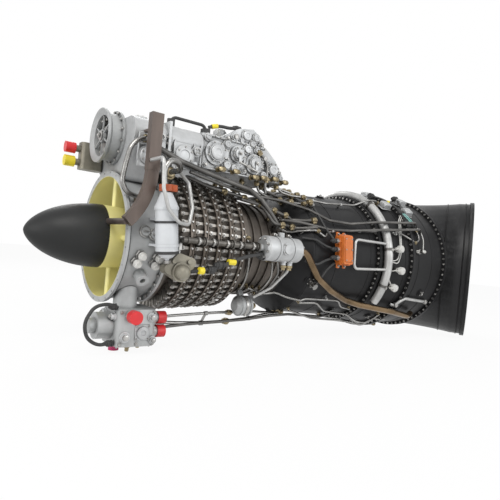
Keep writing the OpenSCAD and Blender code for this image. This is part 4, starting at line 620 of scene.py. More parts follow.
class ENGINE_OT_fine_pipes(bpy.types.Operator):
    """Lays the thin steel pipes along the casings, with their unions and clips"""

    bl_idname = "engine.fine_pipes"
    bl_label = "Fine pipes"

    # Station, clock angle and lift over the casing, along each pipe
    steel = (
        ((410, 76, 14), (412, 82, 22), (427, 106, 22), (439, 124, 20), (446, 138, 16)),
        ((536, 48, 12), (536, 57, 16), (580, 65, 22), (628, 67, 24), (690, 69, 10), (724, 74, 10), (735, 69, 10),
         (830, 65.5, 10), (985, 64.4, 12), (1018, 64.4, 40), (1060, 64.6, 40), (1145, 67, 12), (1200, 72.5, 10)),
        ((1200, 72.5, 10), (1236, 70, 10), (1236, 58, 10)),
        ((545, 100, 30), (560, 112, 34), (548, 127, 34), (545, 143, 30)),
        ((522, 101, 30), (530, 116, 38), (520, 132, 36), (512, 142, 34)),
        ((640, 20, 10), (690, 30, 10), (800, 36, 12), (960, 34, 12), (1012, 34, 40), (1062, 34, 38), (1110, 30, 14)),
        ((640, 338, 10), (700, 332, 10), (860, 330, 12), (985, 328, 12), (1016, 322, 40), (1062, 318, 38),
         (1140, 318, 12)),
        ((536, 302, 12), (590, 296, 24), (690, 292, 12), (850, 290, 12), (960, 296, 12)),
        ((455, 262, 14), (470, 246, 20), (560, 236, 22), (700, 226, 12), (880, 222, 12)),
        ((890, 163, 10), (940, 166, 12), (1060, 168, 14), (1160, 168, 10), (1250, 166, 10)),
        ((690, 138, 10), (764, 135, 14), (847, 147, 14), (985, 150, 14), (1016, 149, 46), (1064, 148, 46),
         (1129, 148, 14), (1206, 148, 10)),
        ((690, 153, 10), (807, 156.5, 30), (952, 157.6, 30), (1079, 153.4, 44), (1142, 142, 10)),
        ((478, 138, 14), (520, 140, 26), (569, 143, 30), (630, 137, 34), (690, 131, 14), (860, 130, 14), (902, 138, 14),
         (970, 142, 10)),
    )
    # Station and clock angle of each clip, and its lift over the casing
    clips = ((760, 67.7), (905, 65), (1100, 65.5), (740, 32.8), (880, 35.2), (760, 331.3), (900, 329.4), (760, 290.9),
             (780, 224.7), (1110, 168), (800, 130.3), (900, 149))
    clip_lift = 11.5
    # Station, clock angle and lift of each union, and whether it lies across the engine
    unions = ((536, 50, 13, 1), (412, 79, 20, 0), (690, 69, 11, 0), (1200, 72.5, 10, 0), (1236, 61, 10, 1),
              (640, 20, 10, 0), (1108, 30, 14, 0), (640, 338, 10, 0), (1138, 318, 12, 0), (540, 301.5, 12, 0),
              (957, 296, 12, 0), (457, 260, 15, 1), (877, 222, 12, 0), (893, 163, 10, 0), (1247, 166, 10, 0))

    def execute(self, context):
        r = sizes().thin_pipe / MM
        pipes, clips, unions = shapes(3)
        for places in self.steel:
            pipes.tube(laid(places), r)
            for x, clock, lift in (places[0], places[-1]):
                base = casing_radius(x)
                unions.turned(at(x, clock, base - 2), out(clock), [(1.9 * r, 0), (1.9 * r, 4), (1.3 * r, 5),
                                                                  (1.3 * r, lift + 3)], 12)
        for x, clock in self.clips:
            spot = at(x, clock, casing_radius(x) + self.clip_lift)
            clips.clamp(spot, AFT, -out(clock), r + 0.4, 9, self.clip_lift - r)
        for x, clock, lift, across in self.unions:
            axis = round_way(clock) if across else AFT
            unions.union_nut(at(x, clock, casing_radius(x) + lift), axis, r + 0.8, 17)
        pipes.make("fine_pipes", "bright_steel")
        clips.make("fine_pipe_clips", "pale_pipe")
        unions.make("fine_pipe_unions", "brass_fitting", "bright_steel")
        return {"FINISHED"}


class ENGINE_OT_unit_pipes(bpy.types.Operator):
    """Lays the pipes that leave the control unit and the pump, with their unions and stays"""

    bl_idname = "engine.unit_pipes"
    bl_label = "Unit pipes"

    # Station, clock angle and lift over the casing, along each dark pipe below the control unit
    dark = (
        ((206, 28, 58), (278, 38, 58), (379, 40, 56), (460, 42.3, 52), (527, 47, 48), (596, 55, 54), (640, 59, 34),
         (690, 60, 10)),
        ((388, 45.3, 58), (484, 45.2, 52), (504, 56, 46), (517, 63, 44), (590, 62.5, 46), (640, 66, 30), (690, 66, 10)),
        ((206, 322, 58), (300, 320, 58), (440, 318, 54), (540, 314, 48), (640, 310, 34), (690, 308, 10)),
    )
    # Station, distance to either side and height, along each pipe from the control unit's floor to the rear
    drops = (
        ((566, 120, 240), (584, 124, 214), (628, 136, 206), (690, 142, 208)),
        ((528, 96, 240), (534, 96, 212), (600, 92, 200), (650, 96, 214), (694, 104, 220)),
        ((484, 112, 240), (492, 114, 204), (560, 112, 184), (618, 124, 182), (682, 158, 182)),
        ((440, 84, 240), (448, 84, 206), (540, 76, 190), (630, 66, 206), (688, 62, 232)),
        ((546, 60, 240), (556, 58, 220), (610, 44, 214), (690, 30, 238)),
    )
    # Station, clock angle and lift of each union among those pipes
    joints = ((603, 28, 56), (580, 52, 52), (537, 47.5, 48), (470, 43, 52), (600, 63, 47), (671, 45, 44), (620, 38, 60),
              (640, 30, 48), (556, 62.6, 44), (330, 39, 58), (410, 41, 55), (676, 60, 18))
    # Points along the pipe on the unit's near side
    down = ((459, -146, 327), (476, -152, 316), (494, -152, 292), (496, -152, 254), (492, -150, 222), (500, -146, 196))
    # Points and radius of the two pipes below the engine, and the ends of the plates that tie them
    low = ((130, -66, -258), (189, -60, -255), (243, -60, -259), (338, -60, -261), (439, -60, -257), (544, -60, -248),
           (610, -60, -236), (664, -62, -232), (700, -62, -224))
    high = ((130, -78, -238), (200, -84, -232), (290, -88, -226), (400, -84, -222), (470, -64, -226), (560, -40, -226),
            (640, -34, -232), (700, -34, -230))
    low_r, high_r = 6, 4.6
    ties = (((340, -60, -261), (340, -86.2, -224.2)), ((540, -60, -248.4), (540, -45.3, -226)))

    def execute(self, context):
        dark, bright, brass = shapes(3)
        for places in self.dark:
            dark.tube(laid(places, 20), 6, 12)
            x, clock, lift = places[-1]
            brass.turned(at(x, clock, casing_radius(x) - 2), out(clock), [(11, 0), (11, 5), (8, 6), (8, lift + 4)], 6)
        for n, places in enumerate(self.drops):
            for side in (-1, 1):
                line = rounded([mm(x, side * y, z) for x, y, z in places], 0.014)
                (dark if n % 2 else bright).tube(line, 5.2 if n % 2 else 4.4, 12)
                brass.union_nut(line[0] + mm(0, 0, -9), DOWN, 6, 18)
                brass.union_nut(line[-1] + mm(-10, 0, 0), AFT, 6, 18)
        for x, clock, lift in self.joints:
            spot = at(x, clock, casing_radius(x) + lift)
            brass.union_nut(spot, AFT, 6.4, 20)
            brass.turned(spot, round_way(clock), [(5.5, 0), (5.5, 8), (7, 9), (7, 15), (4, 16)], 6)
        down = route(self.down, 0.014)
        bright.tube(down, 4.6, 12)
        brass.union_nut(down[0], (1, 0, -0.4), 6, 20)
        brass.union_nut(mm(495, -152, 240), UP, 6, 18)
        low, high = route(self.low, 0.03), route(self.high, 0.03)
        bright.tube(low, self.low_r, 12)
        bright.tube(high, self.high_r, 12)
        for line, r in ((low, 7.4), (high, 6)):
            for spot in (line[0] + mm(12, 0, 0), line[len(line) // 2], line[-1] + mm(-14, 0, 0)):
                brass.union_nut(spot, AFT, r, 22)
        for below, above in self.ties:
            a, b = mm(*below), mm(*above)
            bright.slab((a + b) / 2, b - a, AFT, ((b - a).length / MM, 12, 3), 1)
            for spot, r in ((a, self.low_r), (b, self.high_r)):
                bright.band(spot, AFT, r, r + 2.4, 6, 20)
        for side in (-1, 1):
            bright.tube([mm(572, side * 70, 240), mm(680, side * 90, 220)], 5, 12)
            bright.nut(mm(572, side * 70, 240), DOWN, 8, 8)
        dark.make("unit_pipes", "dark_pipe")
        bright.make("unit_thin_pipes", "bright_steel")
        brass.make("unit_pipe_unions", "brass_fitting", "bright_steel")

        collars = Shape()
        for x in RING_X:
            spot = at(x - 10, CONTROL_CLOCK, CONTROL_RADIUS)
            collars.band(spot, AFT, 8.2, 11.8, 3, 20)
            collars.nut(spot + out(CONTROL_CLOCK) * 11 * MM, out(CONTROL_CLOCK), 3, 3)
        collars.make("shaft_collars", "bolt_steel", body="control_shaft")
        return {"FINISHED"}


class ENGINE_OT_wiring(bpy.types.Operator):
    """Lays the wires and braided cables, with their plugs and tags"""

    bl_idname = "engine.wiring"
    bl_label = "Wiring"

    # Station, clock angle and lift over the casing, along each braided cable, teal wire and white wire
    cables = (
        ((168, 108, 78), (199, 105, 102), (242, 102.7, 108), (286, 99.2, 108), (340, 95, 104), (405, 93, 94),
         (430, 92, 80)),
        ((640, 74, 16), (680, 77, 9), (716, 82, 18), (746, 84, 30)),
        ((648, 96, 16), (690, 98, 9), (718, 93, 18), (746, 90.5, 30)),
        ((690, 116, 26), (712, 112, 14), (735, 101, 12), (760, 95, 18)),
        ((690, 44, 28), (712, 50, 12), (724, 66, 14), (746, 77.5, 30)),
        ((1108, 20, 26), (1150, 26, 22), (1186, 38, 14), (1198, 44, 12)),
        ((1288, 20, 22), (1262, 28, 14), (1225, 40, 12), (1200, 46, 12)),
        ((1108, 340, 20), (1170, 330, 14), (1190, 300, 12), (1096, 282, 12)),
    )
    teal = (
        ((1196, 43, 12), (1200, 49, 15), (1222, 55.5, 14), (1232, 57.5, 12)),
        ((1199, 43, 14), (1206, 48, 18), (1226, 54, 16), (1234, 57, 12)),
        ((1193, 44, 14), (1196, 50, 17), (1216, 56, 16), (1231, 58, 13)),
    )
    white = (
        ((1236, 58, 14), (1262, 61, 12), (1266, 69, 10), (1246, 77, 14), (1228, 79.6, 24)),
        ((1085, 79.5, 34), (1064, 79, 34), (1050, 82, 14), (1052, 88, 8), (1072, 89, 8)),
        ((1098, 96, 34), (1074, 95.5, 34), (1060, 98, 14), (1060, 92, 8), (1076, 90, 8)),
        ((1072, 89, 8), (1096, 88, 10), (1110, 80, 10), (1120, 66, 10), (1150, 52, 10), (1190, 45, 12)),
        ((1076, 90, 8), (1100, 91, 10), (1114, 83, 10), (1126, 67, 10), (1156, 53, 10), (1192, 46, 12)),
        ((1092, 110, 32), (1070, 109, 30), (1062, 103, 10), (1068, 92, 8)),
    )
    # Station, clock angle, lift, radius, length and way out of each plug
    plugs = (
        (430, 92, 78, 11, 26, "back"), (214, 104.2, 104, 11, 30, "back"), (262, 101, 108, 11, 30, "front"),
        (750, 84, 30, 8, 24, "front"), (750, 90.5, 30, 8, 24, "front"), (750, 77.5, 30, 8, 24, "front"),
        (1234, 57.5, 14, 11, 26, "front"), (1198, 44, 12, 10, 26, "front"), (1288, 20, 20, 12, 30, "front"),
        (1108, 20, 26, 12, 30, "back"), (1108, 340, 18, 11, 28, "back"),
    )
    # Station, clock angle, lift, radius and width of each tag
    tags = ((196, 105.2, 101, 10.5, 16), (292, 98.8, 108, 8.6, 26), (1166, 31, 18.5, 7.2, 12))

    def execute(self, context):
        wire, cable = sizes().wire / MM, sizes().cable / MM
        black, teal, white, ends, tags = shapes(5)
        for places in self.cables:
            black.tube(laid(places, 26), cable * (1.0 if places[0][0] < 300 else 0.72), 12)
        for places in self.teal:
            teal.tube(laid(places, 12, 6), wire * 1.25, 8)
        for places in self.white:
            white.tube(laid(places, 14, 6), wire * 1.2, 8)
        for x, clock, lift, r, length, way in self.plugs:
            ends.plug(at(x, clock, casing_radius(x) + lift), AFT if way == "back" else FORE, r, length)
        for x, clock, lift, r, width in self.tags:
            tags.turned(at(x, clock, casing_radius(x) + lift), AFT,
                        [(r - 1, -width / 2), (r, -width / 2 + 1), (r, width / 2 - 1), (r - 1, width / 2)], 20)
        black.make("braided_cables", "black_cable")
        teal.make("teal_wires", "teal_sleeve", "black_cable")
        white.make("sensor_wires", "white_wire", "pale_pipe")
        ends.make("cable_plugs", "black_cable")
        tags.make("cable_tags", "yellow_plastic")
        return {"FINISHED"}


class ENGINE_OT_sensors(bpy.types.Operator):
    """Builds the pale connector heads on the turbine probes, and the thermocouple"""

    bl_idname = "engine.sensors"
    bl_label = "Sensors"

    # Station and clock angle of each probe, and of the thermocouple
    heads = ((1088, 79.5), (1099, 96), (1088, 110), (1088, 250), (1099, 264))
    thermocouple = (1227, 79.6)

    def execute(self, context):
        pale, bright = shapes(2)
        for x, clock in self.heads:
            base = casing_radius(x) + 14
            head = [(9, 0), (11, 2), (11, 9), (15, 11), (15, 24), (13, 27), (6, 28)]
            pale.turned(at(x, clock, base), out(clock), head, 24)
            pale.slab(at(x, clock, base + 5), AFT, out(clock), (34, 13, 5), 1.2)
            pale.turned(at(x - 14, clock, base + 18), FORE, [(6, 0), (6, 5), (4.2, 6), (4.2, 14)], 14)
            for side in (-1, 1):
                bright.nut(at(x + 13 * side, clock, base + 7), out(clock), 3.6, 4)
        x, clock = self.thermocouple
        base = casing_radius(x) + 6
        pale.turned(at(x, clock, base), out(clock), [(7, 0), (9, 1), (9, 8), (6, 9), (6, 22), (4, 23)], 18)
        pale.turned(at(x + 4, clock, base + 14), AFT, [(5, 0), (6.5, 2), (6.5, 16), (5, 18)], 16)
        pale.slab(at(x - 8, clock, base + 4), AFT, out(clock), (30, 12, 4), 1)
        for dx in (-18, 3):
            bright.nut(at(x + dx, clock, base + 6), out(clock), 3.4, 4)
        pale.make("sensor_heads", "white_wire", "pale_pipe")
        bright.make("sensor_nuts", "bolt_steel")
        return {"FINISHED"}


class ENGINE_OT_hot_trim(bpy.types.Operator):
    """Adds the weld beads, bosses, brackets and manifold joints of the hot casings"""

    bl_idname = "engine.hot_trim"
    bl_label = "Hot section trim"

    welds = (684, 790, 968, 1062, 1152, 1236, 1330)
    # Station, clock angle and radius of each boss
    round_bosses = ((688, 114, 17), (651, 67, 12), (688, 246, 17), (900, 150, 15), (860, 12, 15), (860, 348, 15),
                    (690, 180, 16), (1120, 210, 13), (1120, 150, 13), (1300, 270, 14), (1300, 115, 14))
    # Station and radius of each flange with a row of nuts, and the nuts in a row
    flanges = ((1002, 257), (1176, 289), (1407, 292))
    row = 40
    # Middle of the exhaust's mouth, the way it points and the way across it, and the seams' distances behind it
    mouth, mouth_way, mouth_across = mm(1669, -266.5, 0), Vector((0.5, -0.8660254, 0)), Vector((0.8660254, 0.5, 0))
    seams = (34, 112)
    seam_steps = 96
    # Station and radius of the manifold's tube, and the clock angles of its bands
    manifold_x, manifold_r = 1040, 275.5
    manifold_bands = (80, 36, 110, -36, -80, -110)
    # Clock angle and station of each junction box
    boxes = ((14, 1086), (-16, 1086), (24, 1296), (34, 1140), (8, 1160), (42, 1240))
    # Station, clock angle and lift along the pale hose
    hose = ((1150, 128, 4), (1162, 128, 12), (1184, 119, 14), (1274, 120.7, 14), (1340, 122, 12), (1362, 122.8, 4))

    def execute(self, context):
        beads, bosses, bright, bands, boxes = shapes(5)
        for x in self.welds:
            bead = [(casing_radius(x) + 1.1 * c + 0.2, 2.4 * s) for c, s in circle(6, 0)]
            beads.turned(mm(x, 0, 0), AFT, bead, 96, loop=True)
        for x, clock, r in self.round_bosses:
            base = casing_radius(x - r)
            boss = [(r + 5, 0), (r + 5, 5), (r, 6), (r, 10), (r - 2, 11)]
            bosses.turned(at(x, clock, base - 3), out(clock), boss, 28)
            bright.nut(at(x, clock, base + 8), out(clock), 5.2, 5)
            for c, s in circle(4):
                spot = at(x, clock, base + 8) + (AFT * c + round_way(clock) * s) * (r - 4) * MM
                bright.screw(spot, out(clock), 2.4, 2)
        for x, r in self.flanges:
            for k in range(self.row):
                bright.nut(at(x, (k + 0.75) * 360 / self.row, r), FORE, 3.6, 4.6)
        duct, seams = FRAME["nodes"]["exhaust_duct"], Shape()
        inward = duct.matrix_world.inverted()
        for back in self.seams:
            line = []
            for k in range(self.seam_steps + 1):
                a = 2 * math.pi * k / self.seam_steps
                spoke = self.mouth_across * math.cos(a) + UP * math.sin(a)
                start = self.mouth - self.mouth_way * back * MM + spoke * 0.7
                met, spot, _, _ = duct.ray_cast(inward @ start, inward.to_3x3() @ -spoke)
                if not met:
                    raise RuntimeError("the exhaust duct has no wall at its seam")
                line.append(duct.matrix_world @ spot)
            seams.tube(line, 3.2, 8)
        seams.make("exhaust_seams", "black_exhaust")
        for clock in self.manifold_bands:
            bands.band(at(self.manifold_x, clock, self.manifold_r), round_way(clock), 15.5, 18.2, 5, 28)
            bright.nut(at(self.manifold_x, clock, self.manifold_r + 18), round_way(clock), 3.4, 8)
        for clock, x in self.boxes:
            base = casing_radius(x)
            boxes.slab(at(x, clock, base + 14), AFT, out(clock), (46, 34, 24), 3)
            boxes.slab(at(x, clock, base + 3), AFT, out(clock), (62, 40, 4), 1.2)
            for dx in (-26, 26):
                for side in (-1, 1):
                    bright.nut(at(x + dx, clock, base + 5) + round_way(clock) * 13 * side * MM, out(clock), 3.2, 3.6)
        for x, clock in ((1168, 127), (1352, 122.5)):
            bright.union_nut(at(x, clock, casing_radius(x) + 12), AFT, 6.2, 20)
        Shape().tube(laid(self.hose, 24), 6).make("pale_hose", "pale_pipe")
        beads.make("weld_beads", "black_casing")
        bosses.make("casing_bosses", "black_casing")
        bright.make("hot_nuts", "bolt_steel")
        bands.make("manifold_bands", "dark_pipe")
        boxes.make("junction_boxes", "light_casting")
        return {"FINISHED"}


class ENGINE_OT_intake_trim(bpy.types.Operator):
    """Adds the gasket, capped drain stubs, plugs and starter hub of the engine's front"""

    bl_idname = "engine.intake_trim"
    bl_label = "Intake trim"

    # Station and clock angle of each drain stub and of each plug
    stubs = ((46.8, 103), (36.4, 109), (98.8, 104), (91, 110))
    plugs = ((54.6, 83), (83.2, 85))
    # Height of the starter's shaft
    starter_z = 300

    def execute(self, context):
        gasket, caps, bright = shapes(3)
        gasket.turned(mm(0, 0, 0), AFT, [(187, 8.2), (197.6, 8.2), (197.6, 10.6), (187, 10.6)], 96, loop=True)
        for x, clock in self.stubs:
            cap = [(11.6, 0), (12.4, 1), (12.4, 7), (9.4, 8), (9.4, 12), (7.6, 14.5)]
            caps.turned(at(x, clock, 205), out(clock), cap, 20)
            bright.turned(at(x, clock, 189), out(clock), [(13.5, 0), (15, 1.5), (15, 6), (13.5, 7.5)], 6)
        for x, clock in self.plugs:
            bright.turned(at(x, clock, 186), out(clock), [(17, 0), (17, 5), (15.4, 6.4), (12.6, 6.4), (12, 4)], 28)
            bright.slab(at(x, clock, 196), AFT, out(clock), (15, 4, 7), 0.8)
        hub = mm(-29.5, 0, self.starter_z)
        bright.turned(hub, FORE, [(15, 0), (15, 2), (12, 3)], 24)
        bright.nut(hub + mm(-2.5, 0, 0), FORE, 8, 6)
        for c, s in circle(8):
            bright.screw(mm(-21, 50 * c, self.starter_z + 50 * s), FORE, 3.4, 3)
        for c, s in circle(14):
            bright.nut(mm(9, 77 * c, self.starter_z + 77 * s), FORE, 4.4, 4.5)
        gasket.make("intake_gasket", "black_cable")
        caps.make("stub_caps", "white_wire", "pale_pipe")
        bright.make("intake_fasteners", "bolt_steel")
        return {"FINISHED"}


class ENGINE_OT_gearbox_relief(bpy.types.Operator):
    """Adds the pads, bosses, ribs and screws of the accessory gearbox, and its oil loop"""

    bl_idname = "engine.gearbox_relief"
    bl_label = "Gearbox relief"

    # Station, height, length and height of each raised pad on a side wall
    pads = ((50, 286, 44, 36), (92, 262, 34, 66), (60, 222, 66, 34), (166, 286, 60, 26), (190, 236, 62, 30))
    # Station, height, radius and rise of each round cover on a side wall
    covers = ((58, 238, 26, 9), (172, 262, 30, 10), (214, 282, 13, 12), (96, 300, 11, 9), (142, 226, 12, 12))
    # Station, across, radius and rise of each round cover on the roof
    roof = ((64, 42, 28, 10), (66, -58, 20, 14), (178, 66, 24, 10), (182, -20, 16, 16), (92, 96, 12, 10))
    # Stations of the ribs
    ribs = (28, 78, 108, 140, 206, 230)
    # Points along the oil loop
    oil_loop = ((45, -150, 284), (45, -172, 284), (16, -173, 275), (-4, -173, 250), (-14, -173, 197), (-20, -173, 150),
                (-2, -172, 124), (37, -170, 116), (37, -150, 111))

    def execute(self, context):
        cast, screws, loop, ends = shapes(4)
        screw = sizes().cover_screw / MM
        for side in (-1, 1):
            wall = Vector((0, side, 0))
            for x, z, w, h in self.pads:
                cast.slab(mm(x, side * 151, z), AFT, wall, (w, h, 6), 2)
            for x, z, r, rise in self.covers:
                spot = mm(x, side * 150, z)
                cast.turned(spot, wall, [(r + 4, -1), (r + 4, 3.4), (r, 4.4), (r, rise), (r - 2, rise + 1.4),
                                         (0.55 * r, rise + 1.4), (0.5 * r, rise - 1)], 28)
                count = 6 if r > 20 else 4
                for c, s in circle(count):
                    screws.screw(spot + mm((r - 5) * c, side * (rise + 1.4), (r - 5) * s), wall,
                                 0.72 * screw, 2.6)
            for x in self.ribs:
                cast.slab(mm(x, side * 151, 262), AFT, wall, (5, 84, 7), 1.6)
            for z in (226, 246, 266, 286, 304):
                screws.nut(mm(116, side * 154, z), FORE, screw, 4.4)
                screws.turned(mm(124, side * 154, z), AFT, [(screw, 0), (screw, 3.4), (0.8 * screw, 4.2)], 6)
        for y in range(-100, 101, 25):
            screws.nut(mm(116, y, 355), FORE, screw, 4.4)
        for x, y, r, rise in self.roof:
            spot = mm(x, y, 352)
            cast.turned(spot, UP, [(r + 4, -1), (r + 4, 3.4), (r, 4.4), (r, rise), (r - 2, rise + 1.4)], 28)
            for c, s in circle(6):
                screws.screw(spot + mm((r - 5) * c, (r - 5) * s, rise + 1.4), UP, 0.72 * screw, 2.6)
        loop.tube(route(self.oil_loop, 0.016), 7, 14)
        ends.union_nut(mm(45, -160, 284), NEAR, 7.5, 18)
        ends.union_nut(mm(37, -160, 113.5), NEAR, 7.5, 18)
        cast.make("gearbox_relief", "light_casting")
        screws.make("gearbox_screws", "bolt_steel")
        loop.make("gearbox_oil_loop", "bright_steel")
        ends.make("oil_loop_unions", "brass_fitting", "bright_steel")
        return {"FINISHED"}


class ENGINE_OT_control_unit_relief(bpy.types.Operator):
    """Adds the covers, plugs, ribs, elbows and lever of the fuel control unit"""

    bl_idname = "engine.control_unit_relief"
    bl_label = "Control unit relief"

    # Station, height, radius and rise of each small cover on a side wall
    covers = ((330, 262, 13, 14), (329, 330, 12, 10), (400, 256, 9, 12), (362, 257, 14, 12), (410, 329, 13, 10),
              (482, 311, 13, 9), (480, 255, 12, 14), (559, 257, 9, 12), (250, 250, 8, 12), (450, 333, 8, 9),
              (256, 338, 9, 9))
    # Station, height and radius of each large cover of the casting
    large = ((287, 294, 38), (371, 305, 27), (441, 285, 34), (518, 278, 29))
    # Station, height, length and height of each raised pad on a side wall
    pads = ((330, 297, 18, 34), (404, 292, 14, 30), (478, 285, 14, 22), (306, 247, 30, 12), (430, 246, 36, 12),
            (522, 244, 40, 10), (556, 276, 14, 12))
    # Station, height, radius and rise of each boss on the crown's near face
    crown = ((358, 360, 14, 9), (404, 374, 16, 10), (444, 374, 12, 8), (328, 350, 8, 8), (384, 352, 8, 9),
             (430, 351, 10, 8), (466, 354, 9, 8))
    # Station, across, height, radius and rise of each tower or cap on the roof
    roof = ((262, 12, 349, 13, 14), (262, -52, 349, 12, 14), (330, 112, 349, 13, 16), (404, 112, 349, 12, 14),
            (268, 110, 349, 10, 12), (287, 63, 384, 17, 6), (343, -70, 384, 13, 6), (448, 92, 372, 17, 8))
    # Station and height of each elbow on a side wall
    elbows = ((434, 240), (520, 248), (470, 244), (300, 244), (566, 244), (356, 246))
    # Points along the lead over the crown
    lead = ((280, -100, 380), (300, -104, 388), (324, -108, 392), (352, -110, 392), (378, -108, 398), (392, -106, 396))

    def execute(self, context):
        cast, screws, brass, black, tags = shapes(5)
        screw = 0.62 * sizes().cover_screw / MM
        for side in (-1, 1):
            wall = Vector((0, side, 0))
            for x, z, w, h in self.pads:
                cast.slab(mm(x, side * 141, z), AFT, wall, (w, h, 9), 2.4)
                for dx in (-0.5, 0.5):
                    for dz in (-0.5, 0.5):
                        screws.screw(mm(x + dx * (w - 8), side * 145.5, z + dz * (h - 8)), wall, screw, 2.2)
            bosses = [(x, 140, z, r, rise) for x, z, r, rise in self.covers]
            if side < 0:
                bosses += [(x, 138, z, r, rise) for x, z, r, rise in self.crown]
            for n, (x, y, z, r, rise) in enumerate(bosses):
                spot = mm(x, side * y, z)
                if n % 3 == 2:
                    cast.turned(spot, wall, [(r + 3, -1), (r + 3, 4), (r, 5), (r, rise)], 6)
                    screws.turned(spot, wall, [(0.6 * r, rise), (0.6 * r, rise + 6), (0.4 * r, rise + 7)], 14)
                else:
                    cast.turned(spot, wall, [(r + 4, -1), (r + 4, 4), (r, 5.4), (r, rise), (0.86 * r, rise + 2),
                                             (0.5 * r, rise + 2), (0.45 * r, rise + 0.6)], 24)
                    for c, s in circle(4):
                        screws.screw(spot + mm((r + 1) * c, side * 4, (r + 1) * s), wall, screw, 3)
            for x, z, r in self.large:
                spot = mm(x, side * 156, z)
                cast.turned(spot, wall, [(0.6 * r, -1), (0.6 * r, 4), (0.52 * r, 6), (0.3 * r, 6), (0.27 * r, 4.6)], 28)
                for c, s in circle(8):
                    screws.nut(spot + mm((r - 6) * c, 0, (r - 6) * s), wall, screw, 3.2)
            for x, z in self.elbows:
                spot = mm(x, side * 139, z)
                brass.turned(spot, wall, [(9, 0), (10, 1), (10, 7), (9, 8)], 6)
                brass.turned(spot, wall, [(6, 8), (6, 18), (7.6, 20), (7.6, 27), (5, 29)], 16)
                brass.union_nut(spot + mm(8, side * 20, 0), AFT, 5, 20)
            cast.slab(mm(368, side * 142, 345), AFT, wall, (236, 7, 8), 2)
            cast.slab(mm(412, side * 142, 241), AFT, wall, (330, 6, 8), 2)
            for x in range(262, 486, 20):
                screws.nut(mm(x, side * 145.4, 345), wall, 2.8, 3.4)
        for x, y, z, r, rise in self.roof:
            spot = mm(x, y, z)
            cast.turned(spot, UP, [(r + 4, -2), (r + 4, 3), (r, 4.4), (r, rise), (0.84 * r, rise + 2.4),
                                          (0.4 * r, rise + 2.4)], 24)
            for c, s in circle(4):
                screws.nut(spot + mm((r + 2) * c, (r + 2) * s, 3), UP, 2.8, 3.2)
        for x, z, z2, y in ((371, 305, 276, -164), (441, 285, 258, -164)):
            cast.slab(mm(x, y, (z + z2) / 2), UP, NEAR, (z - z2 + 18, 11, 4), 1.5)
            screws.nut(mm(x, y - 2, z), NEAR, 5, 5)
            screws.nut(mm(x, y - 2, z2), NEAR, 4, 5)
        screws.tube([mm(371, -169, 276), mm(441, -169, 258)], 3.2, 10)
        screws.turned(mm(394, -169, 270), (70, 0, -18), [(4.8, 0), (5.2, 1), (5.2, 22), (4.8, 23)], 6)
        black.plug(mm(300, 104, 366), (1, 0, 0.25), 11, 34)
        black.slab(mm(300, 104, 357), AFT, UP, (26, 22, 16), 3)
        lead = route(self.lead, 0.012)
        black.tube(lead, 5.5, 12)
        tags.tube(lead[1:8], 7.6, 16)
        black.plug(mm(398, -106, 398), (-1, 0, 0.1), 9, 28)
        black.slab(mm(404, -106, 395), (1, 0, 0.1), UP, (26, 24, 12), 3)
        cast.make("control_unit_relief", "light_casting")
        screws.make("control_unit_screws", "bolt_steel")
        brass.make("control_unit_elbows", "brass_fitting", "bright_steel")
        black.make("control_unit_plugs", "black_cable")
        tags.make("control_unit_tag", "yellow_plastic")
        return {"FINISHED"}


